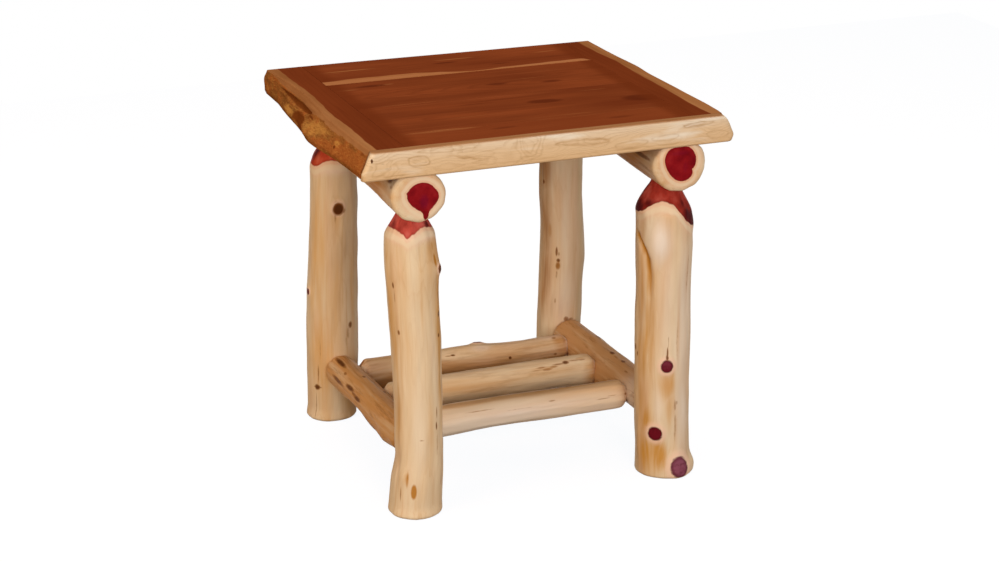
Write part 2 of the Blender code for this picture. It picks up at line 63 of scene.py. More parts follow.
# Camera fitted to the photograph
PHOTO_WIDTH = 999
FOCAL_PIXELS = 2336.9
SENSOR_WIDTH = 36.0
CAMERA_BACK = Vector((-0.3476, -0.8766, 0.3328))
CAMERA_DISTANCE = 3.896
CAMERA_TARGET = Vector((0.0233, 0.0, 0.2834))
CAMERA_CLIP = 50.0

# Studio. A lamp is its place, the height it points at, its size, power and colour
WHITE = (1.0, 1.0, 1.0)
LAMPS = {
    "key": ((-0.8, -5.1, 1.6), 0.3, 2.4, 146.0, WHITE),
    "warm_side": ((-2.9, -1.0, 1.7), 0.3, 2.0, 38.0, (1.0, 0.80, 0.58)),
    "cool_side": ((2.8, -1.6, 1.4), 0.3, 2.0, 6.0, WHITE),
    "overhead": ((0.2, 0.2, 3.0), 0.4, 2.0, 30.0, WHITE),
}
FILL_COLOUR = (1.0, 0.91, 0.80)
FILL_STRENGTH = 0.29
FLOOR_SIZE = 5.0
FLOOR_COLOUR = (0.18, 0.13, 0.085)
FLOOR_GLOW = (0.94, 0.97, 1.0)
FLOOR_STRENGTH = 0.96
FLOOR_ROUGHNESS = 0.9

# Fineness of the meshes, in metres, steps or degrees
SLICE_STEP = 0.002
SLICE_BLUR = 1.8
END_DEPTH = 0.0012
LOG_STEP_ALONG = 0.0024
LOG_STEP_AROUND = 0.0021
FINE_STEP = 0.0009
FINE_REACH = 0.006
SMALL_MARK = 6
CAP_RINGS = 20
CAP_START = 0.02
BOARD_STEP = 0.0025
PLANK_STEP = 0.005
STRIP_STEP = 0.0013
STRIP_STEP_UP = 0.0012
STRIP_END_STEP = 0.0006
STRIP_END_REACH = 0.008
STRIP_TURN_STEPS = 6
STRIP_BACK_STEPS = 4
FACE_ROWS = 60
TOP_COLUMNS = 26
TOP_SPACING = 1.5
SHARP_ANGLE = math.radians(55)
BOARD_ANGLE = math.radians(32)

# Relief of the logs. A ripple is its height, its fewest and most waves around the log and their length
FOOT_ROUND = 0.006
BEAM_ROUND = 0.008
TENON_ROUND = 0.002
RIPPLES = ((0.45 * MM, (2, 4), 0.22), (0.22 * MM, (6, 12), 0.16), (0.10 * MM, (14, 26), 0.07))
KNOT_FLAT = 0.6
KNOT_FADE = 0.9
KNOT_GROOVE = 0.25 * MM
KNOT_GROOVE_WIDTH = 0.16
NO_KNOT = 4.0
FLUTE_DEPTH = 0.005
FLUTE_TOP = (0.012, 0.004)
FLUTE_WIDTHS = (0.0085, 0.0055)
# Painted shade that a flute adds to a log's fields, as dark mark, resin and amber colour in and beside its groove:
# greatest strength, power of its depth, half width on either side
FLUTE_SHADE = {
    "mark": (0.42, 2.0, (0.0018, 0.0018)),
    "resin": (0.75, 0.5, (0.0052, 0.0052)),
    "amber_and_shade": (1.4, 0.5, (0.0100, 0.0080)),
}
MARK_EDGE = (1.25, 0.35)
PATCH_EDGE = (1.4, 0.3)

# Red heart inside a log: its radius, the waves in its edge and how its shape changes from front to back
CAPPED_HEART = 0.022
PLAIN_HEART = 0.010
HEART_WAVES = 0.0009
CAP_WAVES = 0.0003
CAP_SLOPE = 0.6
BACK_HEART = 0.004
HEART_CHANGE = (0.2, 0.8)

# Relief of the top: rounded corners, the live edges with their slot, and the front strip
PLANK_EDGE = 0.0002
PLANK_FADE = 0.045
BACK_SKEW_START = 0.15
EDGE_BLUR = (6.0, 1.5)
EDGE_FADES = (0.006, 0.008)
EDGE_WAVES = 0.5 * MM
SLOT_DEPTH = 0.0042
SLOT_START = (0.0002, 0.0014)
SLOT_EDGE = (1.4, 0.6)
SLOT_LEAST = 0.0005
RIDGE_BELOW = 0.0035
RIDGE_WIDTH = 0.0020
RIDGE_HEIGHT = 1.2 * MM
CORNER_COLUMNS = 6
CORNER_BLUR = 1.4
SAP_WAVES = 0.0003
BROW_WAVES = 0.0006
BROW_SOFT = 0.001
NEAR_BAND = (0.05, -0.22)
BOARD_PITH = (0.03, 0.05)
BOARD_PITH_SLOPE = 0.02
STRIP_ROUND = 0.0035
STRIP_CORNERS = (0.007, 0.010)
STRIP_DROP = 0.0030
STRIP_INSIDE = 0.004
STRIP_END_BLUR = 2.0
STRIP_BACK_START = 0.35
STRIP_BEND = (0.0022, 0.0006)
STRIP_RINGS = 130.0
STRIP_RING_SWAY = 1.6
# Heights of the painted shade along the front strip's lower edge
STRIP_FOOT_SHADE = (0.0045, 0.0010)
STRIP_CROWN = (0.0034, 0.0002)
LOOP_LINE = 0.0013

# Planks by number: place and depth of the pith, and how orange each is. A sway is size, pace and shift
PITHS = {1: (215, 60), 2: (45, 70), 3: (-120, 55), 4: (-230, 80)}
PLANK_ORANGE = {1: 0.25, 2: 0.0, 3: 0.1, 4: 0.55}
PITH_SWAYS = ((0.010, 5.0, 1.7), (0.012, 2.1, 1.0))
SIDE_SWAY = (0.008, 4.0, 2.3)
NO_SAP = -0.05
STREAK_WAVES = 0.0010

# Axis along each kind of log, the two directions across it, and whether it stands straight along that axis
LOG_AXES = {
    "leg": ((0, 0, 1), (1, 0, 0), (0, 1, 0), True),
    "beam": ((0, 1, 0), (1, 0, 0), (0, 0, 1), True),
    "stretcher": ((0, 1, 0), (1, 0, 0), (0, 0, 1), False),
    "slat": ((1, 0, 0), (0, 1, 0), (0, 0, 1), False),
}
LOG_ENDS = {
    "leg": (FOOT_ROUND, TENON_ROUND),
    "beam": (BEAM_ROUND, BEAM_ROUND),
    "stretcher": (TENON_ROUND, TENON_ROUND),
    "slat": (TENON_ROUND, TENON_ROUND),
}

# Logs. Places are millimetres along the log and degrees around it, half sizes are millimetres. A knot, mark or
# cloud is place, angle, half length, half width and strength. A knot's strength is how far it stands out, and its
# last number is how mauve it is. Marks and resin have a clear edge; amber, pale and maroon clouds fade out slowly.
# Amber clouds are amber wood and in places painted shade, pale clouds are pale sapwood and in places painted
# highlight and painted light, and maroon clouds are painted shade on the sides of the red caps.
# A swell ends with its height. A red cap is angle and height of the heartwood's edge. A heart is angle and radius
# on the front end, around heart_at, and plum patches lie on that end. A flute is place, angle and depth. Tone is
# the colour of the amber clouds, smear the strength of brown stains, reds are the heart's colours, blush the colour
# beside it.
LOGS = {
    "leg_front_left": {
        "seed": 3,
        "red_cap": ((-180, 476), (-156, 476), (-138, 474), (-126, 471), (-117, 465), (-106, 470),
                    (-96, 473), (-78, 478), (-62, 479), (-45, 476), (0, 470), (60, 474), (120, 470),
                    (164, 475)),
        "knots": ((409, -36, 7, 5, 2.5, 0.0),),
        "marks": ((409, -36, 7, 5, 0.9), (388, -156, 6, 2.6, 0.8), (368, -153, 14, 2.2, 0.3),
                  (312, -148, 5, 2.6, 0.7), (336, -40, 6, 3.4, 0.9), (301, -44, 4, 2.8, 0.8),
                  (372, -40, 26, 2.4, 0.35), (176, -61, 12, 1.8, 0.5), (154, -63, 8, 2.4, 0.75),
                  (41, -146, 16, 1.6, 0.45), (134, -102, 1.3, 5, 0.4), (124, -62, 24, 1.6, 0.35),
                  (72, -130, 8, 1.4, 0.4), (60, -42, 14, 2.2, 0.5)),
        "resin": ((48, -115, 15, 5.4, 1.0), (425, -48, 13, 3.8, 0.8), (448, -50, 10, 3.0, 0.4),
                  (68, -131, 18, 3.0, 0.45), (46, -145, 16, 2.4, 0.35)),
        "maroon_shade": ((481, -46, 8, 6, 0.8), (481, -168, 10, 9, 0.6)),
        "amber_and_shade": ((330, -166, 130, 13, 0.8), (170, -164, 80, 12, 0.7), (60, -154, 34, 10, 0.4),
                  (430, -170, 30, 12, 0.5), (300, -42, 150, 12, 0.9), (70, -134, 14, 6, 0.5),
                  (440, -60, 20, 10, 0.6)),
        "pale": ((150, -108, 90, 12, 0.25), (466, -100, 8, 40, 0.8)),
        # Reds lighter than the other caps: partly the cap's own colour, partly painted light against the beam's
        # shadow on it
        "reds": ((144, 48, 40), (192, 78, 66), (214, 108, 96)),
        "swells": ((70, -141, 14, 7, 1.8), (92, 178, 24, 34, -5.0), (175, 178, 60, 30, -2.6),
                   (30, 176, 20, 26, 0.3), (411, -38, 20, 16, 2.4), (120, -100, 60, 12, 0.5),
                   (345, -35, 30, 14, 1.2), (440, 172, 44, 22, 2.6), (3, -110, 10, 60, 3.6)),
    },
    "leg_front_right": {
        "seed": 8,
        "red_cap": ((-180, 452), (-165, 457), (-158, 460), (-143, 469), (-124, 474), (-108, 472.5),
                    (-97, 470.5), (-90, 467), (-83, 461), (-75, 452), (-65, 442), (-50, 432), (-38, 428),
                    (-10, 436), (40, 452), (90, 462), (140, 458)),
        "knots": ((199, -105, 10.6, 10.0, 1.6, 0.20), (81, -129, 12.0, 11.4, 1.8, 0.0),
                  (20, -79, 17.8, 14.5, 3.4, 0.9)),
        "marks": ((221, -103.8, 12, 1.7, 0.8), (214, -104.4, 6, 2.6, 0.8), (240, -102, 16, 1.1, 0.35),
                  (130, -87, 12, 2.8, 0.38), (350, -56, 50, 2.6, 0.30), (134, -84, 5, 3.4, 0.35),
                  (92, -86, 34, 2.6, 0.34), (240, -83, 44, 2.2, 0.25), (222, 176, 7, 3.0, 0.7),
                  (212, -176, 5, 2.4, 0.6)),
        "maroon_shade": ((436, -42, 18, 12, 1.5), (460, -178, 14, 12, 1.0), (468, -62, 9, 5, 0.7),
                   (470, -154, 8, 10, 0.7), (450, -56, 14, 9, 1.0)),
        "reds": ((112, 28, 22), (158, 50, 38), (188, 84, 70)),
        # Pale patches here are painted highlight: the broad lobe near the top, the band down the middle and the
        # sheen on the right side
        "pale": ((410, -122, 38, 18, 1.3), (310, -108, 150, 14, 0.55), (130, -122, 34, 8, 0.6),
                 (110, -66, 80, 15, 0.9), (280, -62, 170, 20, 0.8)),
        "amber_and_shade": ((345, -144, 50, 10, 1.3), (270, -143, 80, 11, 1.2), (330, -168, 100, 14, 0.75),
                  (350, -58, 70, 5, 0.9), (270, -80, 90, 4, 0.8), (220, -158, 70, 16, 0.8),
                  (168, -104, 30, 14, 1.3), (128, -97, 44, 10, 0.8), (130, -164, 70, 12, 0.6),
                  (42, -140, 36, 23, 1.4), (44, -121, 34, 12, 1.5), (40, -168, 44, 14, 0.7),
                  (250, -124, 50, 7, 0.4), (96, -84, 50, 6, 0.6), (420, -60, 34, 12, 0.7),
                  (100, -150, 26, 12, 1.0), (180, -100, 24, 12, 1.0)),
        "swells": ((17, -33, 13, 20, 7.5), (6, -76, 16, 20, 4.0), (431, -36, 15, 18, 2.8),
                   (402, -130, 34, 18, 4.8), (60, -100, 26, 12, -1.6), (112, -20, 60, 30, -0.8),
                   (174, -106, 22, 8, -1.4), (462, -172, 13, 26, 4.0), (48, -134, 22, 12, -1.2),
                   (290, -178, 60, 24, -1.6), (115, -125, 30, 10, 1.2), (222, 178, 20, 14, 0.8),
                   (3, -40, 9, 22, 3.5), (482, 160, 20, 24, 4.0)),
        "flute": ((215, -142, 0.0), (259, -142, 1.0), (310, -141, 2.2), (352, -144, 3.4), (380, -150, 4.4),
                  (395, -160, 5.0), (405, -172, 5.0), (412, -182, 4.5)),
    },
    "leg_back_left": {
        "seed": 14,
        "red_cap": ((-180, 466), (-170, 465), (-153, 464), (-142, 470), (-125, 475), (-107, 476),
                    (-60, 470), (0, 466), (60, 472), (120, 466)),
        "knots": ((394, -97, 9.4, 8.2, 1.4, 0.0), (236, -173, 6, 4.5, 1.6, 0.0)),
        "marks": ((393, -96, 13, 10.5, 1.1), (405, -100, 6, 6, 0.3), (378, -103, 12, 2.4, 0.35),
                  (390, -84, 6, 5, 0.5), (178, -64, 7, 4.6, 0.75), (164, -70, 14, 3.6, 0.35),
                  (148, -75, 14, 2.4, 0.25), (64, -144, 6, 6, 0.95), (64, -144, 2.5, 9, 0.7),
                  (90, -141, 22, 1.8, 0.5), (28, -147, 34, 1.2, 0.5), (138, -135, 26, 1.6, 0.3)),
        "resin": ((64, -144, 11, 9, 0.25), (74, -142, 14, 3, 0.4)),
        "amber_and_shade": ((300, -150, 180, 26, 0.7), (120, -140, 110, 40, 0.7), (372, -106, 30, 16, 0.5),
                  (250, -56, 160, 12, 0.5), (260, -110, 150, 24, 0.45), (400, -66, 60, 12, 0.4),
                  (70, -56, 60, 20, 1.2)),
        "pale": ((300, -172, 140, 8, 0.2), (462, -105, 9, 34, 0.8)),
        "tone": (226, 168, 94),
        "maroon_shade": ((486, -172, 14, 10, 0.85), (494, -140, 8, 12, 0.45)),
        "reds": ((146, 38, 26), (194, 76, 48), (218, 112, 84)),
        "swells": ((236, -173, 14, 12, 1.2), (178, -62, 22, 14, 1.0), (480, -165, 12, 34, 3.5),
                   (3, -130, 12, 60, 5.0), (250, -18, 110, 16, 1.8), (300, 178, 170, 20, -1.2)),
    },
    "leg_back_right": {
        "seed": 21,
        "red_cap": ((-180, 468), (-120, 472), (-60, 466), (0, 470), (60, 466), (120, 472)),
        "marks": ((255, -127, 10, 2.6, 0.7), (251, -121, 5, 2.0, 0.4), (239, -122.5, 4.4, 3.8, 0.8),
                  (229, -123, 8, 4.8, 0.65), (213, -125, 10, 2.2, 0.4), (164, -125, 6, 2.0, 0.4),
                  (380, -165, 5, 3.6, 0.7), (128, -93, 6, 6, 0.6), (126, -80, 4, 9, 0.4)),
        "resin": ((293, -146, 20, 5, 0.4), (230, -123, 12, 7, 0.4)),
        # The amber down the left side and the darker tone are painted shade; the pale patches are painted light on
        # a leg that the top shades
        "amber_and_shade": ((300, -162, 120, 16, 0.9), (200, -162, 90, 18, 1.0), (420, -166, 80, 18, 1.1),
                  (150, -120, 40, 30, 0.6)),
        "pale": ((330, -106, 150, 20, 0.35), (170, -100, 60, 22, 0.5)),
        "tone": (182, 128, 80),
        "swells": ((160, -172, 18, 12, 1.4), (200, -14, 40, 18, -2.2)),
    },
    "beam_left": {
        "seed": 27,
        "heart_at": (8, 0),
        "heart": ((-180, 27.5), (-176, 27), (-158, 24.5), (-132, 22.6), (-106, 23.5), (-96, 26),
                  (-91, 36.5), (-86, 38), (-80, 34), (-75, 27), (-65, 23.6), (-44, 22.3), (-23, 23.3),
                  (-6, 23.8), (7, 23), (32, 20.6), (60, 20.6), (90, 21.8), (118, 24), (137, 25.8),
                  (155, 27), (165, 29.5), (170, 28)),
        "marks": ((36, 148, 18, 6, 0.9), (60, 140, 20, 5, 0.7), (120, 165, 20, 3, 0.5),
                  (14, 158, 8, 4, 0.4)),
        "resin": ((46, 160, 22, 12, 0.4),),
        "amber_and_shade": ((120, 178, 80, 50, 1.2), (270, 180, 160, 50, 1.2), (450, 180, 120, 50, 1.1),
                  (90, -140, 60, 24, 1.0), (300, 5, 190, 60, 1.1)),
        "swells": ((8, 160, 20, 20, 1.6), (500, -140, 46, 50, -9.5), (6, -14, 60, 24, 3.6),
                   (150, -135, 90, 20, -2.0)),
        "tone": (190, 122, 44),
        "plum": ((8, -8, 9, 14, 0.7),),
    },
    "beam_right": {
        "seed": 32,
        "heart_at": (4, 4),
        "heart": ((-180, 28.3), (-155, 25.7), (-127, 25.9), (-103, 27.8), (-85, 28.7), (-68, 28.6),
                  (-51, 27.2), (-40, 24.6), (-30, 20.4), (-22, 22), (-8, 23.5), (11, 24.8), (29, 26.1),
                  (50, 27.8), (68, 29), (97, 28), (128, 33), (138, 33.6), (150, 33), (162, 31.6)),
        "marks": ((60, 168, 50, 4.0, 0.7), (150, 172, 50, 3.0, 0.6), (40, 190, 40, 4, 0.4)),
        "amber_and_shade": ((120, 188, 90, 55, 1.5), (270, 188, 160, 55, 1.4), (450, 188, 120, 55, 1.3),
                  (4, -146, 14, 28, 0.5), (300, 5, 190, 60, 1.1)),
        "swells": ((8, 20, 18, 20, 2.0), (8, 170, 16, 16, 1.6), (60, 178, 60, 8, 1.2),
                   (6, -12, 60, 24, 3.8), (6, 34, 60, 18, 3.4), (6, -48, 60, 16, 2.2),
                   (250, -135, 160, 22, -3.2)),
        "tone": (198, 130, 52),
        "blush": (236, 172, 134),
        "plum": ((0, 22, 20, 5, 0.5), (10, -2, 6, 12, 0.4)),
    },
    "stretcher_left": {
        "seed": 38,
        "marks": ((348, 112, 30, 5.0, 0.9), (268, 84, 6, 4.0, 0.6), (306, 128, 7, 3.4, 0.6),
                  (262, 153, 22, 4.6, 0.85), (222, 165, 18, 4.8, 0.85), (240, 160, 14, 3.0, 0.6),
                  # The last two marks, long and faint low on the side, are painted shade
                  (192, 60, 8, 4, 0.6), (318, 166, 34, 5.0, 0.75), (100, -150, 26, 6, 0.35),
                  (170, -138, 120, 14, 0.45)),
        "resin": ((150, 150, 60, 9, 0.3),),
        # Amber all round is partly the wood's amber and partly painted shade from the top over the shelf
        "amber_and_shade": ((210, 180, 300, 130, 1.3),),
        "tone": (210, 150, 88),
        "smear": 0.50,
        "swells": ((92, -150, 20, 16, 4.6), (116, -140, 10, 10, 1.4), (300, 165, 40, 8, 0.8),
                   (165, -133, 46, 18, 3.2)),
    },
    "stretcher_right": {
        "seed": 43,
        "marks": ((278, 72, 12, 4.0, 0.6), (191, 95, 9, 4.4, 0.8), (172, 98, 12, 2.4, 0.35),
                  (146, 95, 8, 4.0, 0.75), (110, 118, 10, 2.4, 0.4), (75.5, 176, 3.4, 3.2, 0.9),
                  (76.4, -162, 5.2, 5.0, 1.1), (340, 80, 18, 3.0, 0.4)),
        # Amber all round is partly the wood's amber and partly painted shade from the top over the shelf
        "amber_and_shade": ((260, 140, 300, 130, 1.4),),
        # The pale patch at the front end is painted light where the front right leg shadows it
        "pale": ((60, 168, 32, 50, 1.0),),
        "tone": (206, 151, 98),
        "smear": 0.50,
        "swells": ((191, 94, 16, 10, 1.6), (278, 70, 18, 10, 1.8), (146, 95, 12, 9, 1.0),
                   (216, -133, 64, 24, 13.0), (330, 92, 60, 16, 2.0)),
    },
    "slat_front": {
        "seed": 49,
        "marks": ((349, 171, 16, 1.2, 0.45), (365, 163, 12, 1.2, 0.4), (258, 147, 8, 1.8, 0.4),
                  (131, 144, 34, 1.3, 0.4), (200, 160, 40, 1.2, 0.25), (391, 166, 3, 3, 0.6)),
        # Amber along the top and the underside, and all round the right end at the stretcher, is painted shade
        "amber_and_shade": ((60, 150, 50, 16, 0.4), (330, 110, 90, 10, 0.5), (392, 150, 18, 80, 0.9),
                  (200, -106, 260, 5, 0.8), (200, 94, 260, 11, 1.3)),
        "tone": (190, 140, 82),
        # The pale band along the front is partly pale wood and partly painted highlight
        "pale": ((200, -176, 180, 24, 1.0), (120, -140, 120, 14, 0.7), (330, -150, 70, 16, 0.7)),
        "swells": ((60, -100, 60, 14, 1.5), (300, -95, 60, 14, 1.0), (200, 130, 50, 10, 1.0),
                   (400, 110, 18, 40, -2.0), (90, -113, 60, 16, 1.8), (380, -113, 30, 16, 1.8)),
    },
    "slat_middle": {
        "seed": 54,
        "marks": ((344, 121, 7, 4.2, 0.85), (330, 125, 14, 2.2, 0.5), (308, 139, 12, 3.0, 0.5),
                  (298, 128, 12, 2.2, 0.45), (290, 138, 16, 1.6, 0.35), (362, 117, 18, 1.8, 0.45),
                  (320, 133, 10, 2.4, 0.45), (375, 118, 8, 2.4, 0.45)),
        "resin": ((300, 134, 40, 5, 0.4), (372, 110, 12, 4, 0.4)),
        # Amber along the lower front and all round the right end at the stretcher is painted shade
        "amber_and_shade": ((200, -150, 260, 16, 0.3), (320, 140, 90, 20, 0.5), (120, 150, 130, 22, 0.4),
                  (392, 160, 20, 80, 0.9)),
        "tone": (204, 150, 92),
        "smear": 0.22,
        "swells": ((330, 118, 24, 8, 1.4), (150, 120, 60, 8, 0.8), (372, -150, 30, 14, 3.0),
                   (384, -113, 30, 16, 5.0)),
    },
    "slat_back": {
        "seed": 60,
        "knots": ((239, 70, 9, 4.5, 3.8, 0.0),),
        "marks": ((26, 74, 8, 6, 0.6), (34, 96, 10, 3, 0.3), (185, 131, 5, 2.0, 0.9),
                  (176, 133, 8, 1.3, 0.5), (289, 172, 3.4, 3.2, 1.0), (377, 109, 5, 3.2, 0.5),
                  (374, -173, 4, 3.0, 0.5), (150, 150, 20, 1.4, 0.3)),
        "resin": ((238, 116, 16, 5, 0.25),),
        # Amber along the lower side, all round the right end at the stretcher, and the darker amber overall are
        # painted shade under the top and behind the front slats
        "amber_and_shade": ((200, -156, 260, 20, 1.5), (300, 150, 150, 26, 0.7), (120, 160, 90, 22, 0.5),
                  (200, -126, 260, 16, 1.3), (40, 175, 44, 40, 0.9), (388, 150, 20, 80, 1.1)),
        "pale": ((238, 114, 18, 6, 0.7), (40, 130, 30, 20, 0.3), (372, 96, 20, 7, 0.5)),
        "tone": (194, 138, 80),
        "smear": 0.30,
        "swells": ((236, 78, 42, 15, 4.4), (196, 90, 34, 14, 1.6), (44, 80, 40, 14, 1.4),
                   (28, 70, 14, 12, 1.8), (62, -113, 45, 18, 8.5), (238, 112, 14, 7, 1.0)),
    },
}


def srgb(red, green, blue):
    """Linear colour from the 0 to 255 values that a picture shows."""
    values = np.array((red, green, blue)) / 255.0
    linear = np.where(values <= 0.04045, values / 12.92, ((values + 0.055) / 1.055) ** 2.4)
    return tuple(float(v) for v in linear)


def smooth(low, high, value):
    share = np.clip((value - low) / (high - low), 0.0, 1.0)
    return share * share * (3.0 - 2.0 * share)


def wrap(angle):
    return (angle + math.pi) % TURN - math.pi


def ripple(seed, angle, along, turns, length, count=18):
    """Smooth noise on a log: whole numbers of waves around it, waves of about the given length along it."""
    rng = np.random.default_rng(seed)
    total = 0.0
    for _ in range(count):
        around = rng.integers(turns[0], turns[1] + 1)
        pace = rng.normal() * TURN / length
        total = total + np.sin(around * angle + pace * along + rng.uniform(0, TURN))
    return total / math.sqrt(count / 2)


def waves(seed, first, second, lengths, count=14):
    """Smooth noise over two directions, with waves of about the given lengths."""
    rng = np.random.default_rng(seed)
    total = 0.0
    for _ in range(count):
        pace = rng.normal(size=2) * TURN / np.array(lengths)
        total = total + np.sin(pace[0] * first + pace[1] * second + rng.uniform(0, TURN))
    return total / math.sqrt(count / 2)


def soften(values, sigma):
    """Gaussian blur along the first axis, sigma in steps."""
    reach = int(3 * sigma) + 1
    kernel = np.exp(-0.5 * (np.arange(-reach, reach + 1) / sigma) ** 2)
    kernel /= kernel.sum()
    padded = np.pad(values, [(reach, reach)] + [(0, 0)] * (values.ndim - 1), mode="edge")
    return sum(weight * padded[i:i + len(values)] for i, weight in enumerate(kernel))


def graded(low, high, places, coarse, fine, reach, probes=6000):
    """Steps from low to high that are coarse, and fine near the given places."""
    probe = np.linspace(low, high, probes)
    density = np.full(len(probe), 1.0 / coarse)
    for place in places:
        density = np.maximum(density, np.exp(-((probe - place) / reach) ** 2) / fine)
    area = np.concatenate(([0.0], np.cumsum((density[1:] + density[:-1]) / 2 * np.diff(probe))))
    count = max(3, int(round(area[-1])) + 1)
    return np.interp(np.linspace(0.0, area[-1], count), area, probe)


def along_table(table, place, column=1):
    """Value of one column of a table in millimetres, at places that its first column counts."""
    rows = np.array(table) * MM
    return np.interp(place, rows[:, 0], rows[:, column])


def around_table(table, angle):
    """Value of a table of (degrees, value) at the given angles, joined up all the way round."""
    degrees = np.array([row[0] for row in table], float)
    values = np.array([row[1] for row in table], float)
    degrees = np.concatenate((degrees - 360, degrees, degrees + 360))
    return np.interp(np.degrees(wrap(angle)), degrees, np.tile(values, 3))


def triangles_of(obj):
    mesh = obj.data
    points = np.empty(len(mesh.vertices) * 3)
    mesh.vertices.foreach_get("co", points)
    points = points.reshape(-1, 3)
    mesh.calc_loop_triangles()
    corners = np.empty(len(mesh.loop_triangles) * 3, dtype=np.int32)
    mesh.loop_triangles.foreach_get("vertices", corners)
    return points, points[corners].reshape(-1, 3, 3)


def section(flat, heights, level):
    """Points where a mesh's edges cross one level, in the plane across the log."""
    found = []
    for a, b in ((0, 1), (1, 2), (2, 0)):
        below = heights[:, a] - level
        above = heights[:, b] - level
        crossing = below * above < 0
        share = (below / np.where(crossing, below - above, 1.0))[crossing, None]
        found.append(flat[crossing, a] + share * (flat[crossing, b] - flat[crossing, a]))
    return np.concatenate(found)


def fit_circle(points, bins=24, rounds=8, dent=0.001, fewest=6):
    """Circle through the outer points of a section, leaving out flats and mortises."""
    offsets = points - (points.min(0) + points.max(0)) / 2
    turn = np.arctan2(offsets[:, 1], offsets[:, 0]) / TURN + 0.5
    place = np.floor(turn * bins).astype(int) % bins
    reach = np.linalg.norm(offsets, axis=1)
    outer = np.array([points[place == k][np.argmax(reach[place == k])] for k in np.unique(place)])
    keep = outer
    for _ in range(rounds):
        sums = np.c_[2 * keep, np.ones(len(keep))]
        answer = np.linalg.lstsq(sums, (keep ** 2).sum(1), rcond=None)[0]
        centre = answer[:2]
        radius = math.sqrt(answer[2] + centre @ centre)
        depth = radius - np.linalg.norm(outer - centre, axis=1)
        if np.sum(depth < dent) < fewest:
            break
        keep = outer[depth < dent]
    return centre, radius


class Log:
    """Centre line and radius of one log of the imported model, read from slices across it."""

    def __init__(self, obj, along, across, up, straight, rounds):
        points, triangles = triangles_of(obj)
        along = np.array(along, float)
        levels = points @ along
        start = points[levels < levels.min() + END_DEPTH].mean(0)
        end = points[levels > levels.max() - END_DEPTH].mean(0)
        if straight:
            start = end + along * (levels.min() - end @ along)
            end = end + along * (levels.max() - end @ along)
        self.along = (end - start) / np.linalg.norm(end - start)
        self.across = np.array(across, float) - self.along * (self.along @ across)
        self.across /= np.linalg.norm(self.across)
        self.up = np.array(up, float) - self.along * (self.along @ up)
        self.up -= self.across * (self.up @ self.across)
        self.up /= np.linalg.norm(self.up)
        self.start = start
        self.length = float((end - start) @ self.along)
        self.rounds = rounds
        self.read(triangles - start)

    def read(self, local):
        flat = np.stack((local @ self.across, local @ self.up), axis=-1)
        heights = local @ self.along
        margin = [size + SLICE_STEP if size > TENON_ROUND else SLICE_STEP / 2 for size in self.rounds]
        self.levels = np.arange(margin[0], self.length - margin[1], SLICE_STEP)
        rows = []
        for level in self.levels:
            centre, radius = fit_circle(section(flat, heights, level))
            rows.append((*centre, radius))
        self.shape = soften(np.array(rows), SLICE_BLUR)

    def at(self, place):
        return [np.interp(place, self.levels, self.shape[:, i]) for i in range(3)]

    def end_drop(self, place):
        """How much the rounding of the two ends takes off the radius."""
        drop = 0.0
        for size, distance in zip(self.rounds, (place, self.length - place)):
            inward = np.clip(size - distance, 0.0, size)
            drop = drop + size - np.sqrt(np.maximum(size ** 2 - inward ** 2, 0.0))
        return drop


def mark_distance(mark, place, angle, radius):
    """Distance from a mark's middle along and around the log, and as a share of the mark's own size."""
    along = place - mark[0] * MM
    around = radius * wrap(angle - math.radians(mark[1]))
    return along, around, np.hypot(along / (mark[2] * MM), around / (mark[3] * MM))


def flute_shape(path, place, angle, radius):
    """Depth of a groove along points of (place, angle, depth), and how far around the log it lies."""
    top = path[-1][0] * MM
    middle = np.radians(along_table(path, place) / MM)
    depth = along_table(path, place, 2) * smooth(top + FLUTE_TOP[0], top - FLUTE_TOP[1], place)
    return depth, radius * wrap(angle - middle)


def log_lift(look, place, angle, radius):
    """How far a log's surface stands out from its smooth round form."""
    lift = 0.0
    for number, (height, turns, length) in enumerate(RIPPLES):
        lift = lift + height * ripple(look["seed"] + number, angle, place, turns, length)
    for mark in look["swells"]:
        lift = lift + mark[4] * MM * np.exp(-mark_distance(mark, place, angle, radius)[2] ** 2)
    for mark in look.get("knots", ()):
        share = mark_distance(mark, place, angle, radius)[2]
        lift = lift + mark[4] * MM * np.exp(-(np.maximum(share - KNOT_FLAT, 0.0) / KNOT_FADE) ** 2)
        lift = lift - KNOT_GROOVE * np.exp(-((share - 1.0) / KNOT_GROOVE_WIDTH) ** 2)
    if "flute" in look:
        depth, around = flute_shape(look["flute"], place, angle, radius)
        lift = lift - depth * np.exp(-(around / np.where(around < 0.0, *FLUTE_WIDTHS)) ** 2)
    return lift


def bent_angle(look, place, angle, radius, pull=0.85, stretch=0.4, core=0.35):
    """Angle around the log with the grain led past the knots."""
    bent = angle
    for mark in look.get("knots", ()):
        along, around, _ = mark_distance(mark, place, angle, radius)
        size = mark[3] * MM
        share = pull * size ** 2 / (along ** 2 * stretch + around ** 2 + core * size ** 2)
        bent = bent - around * share / radius
    return bent


def mark_field(marks, place, angle, radius, clear=True):
    """Strongest of a list of marks, which have a clear edge or fade out slowly."""
    field = np.zeros(np.broadcast(place, angle).shape)
    for mark in marks:
        share = mark_distance(mark, place, angle, radius)[2]
        field = np.maximum(field, mark[4] * (smooth(*MARK_EDGE, share) if clear else np.exp(-share ** 2)))
    return field


def patch_field(patches, first, second):
    """Greatest of a list of soft oval patches, each with an optional slope as its last number."""
    field = np.zeros(np.broadcast(first, second).shape)
    for patch in patches:
        along = first / MM - patch[0]
        slope = patch[5] if len(patch) > 5 else 0.0
        share = np.hypot(along / patch[2], (second / MM - patch[1] - slope * along) / patch[3])
        field = np.maximum(field, patch[4] * smooth(*PATCH_EDGE, share))
    return field


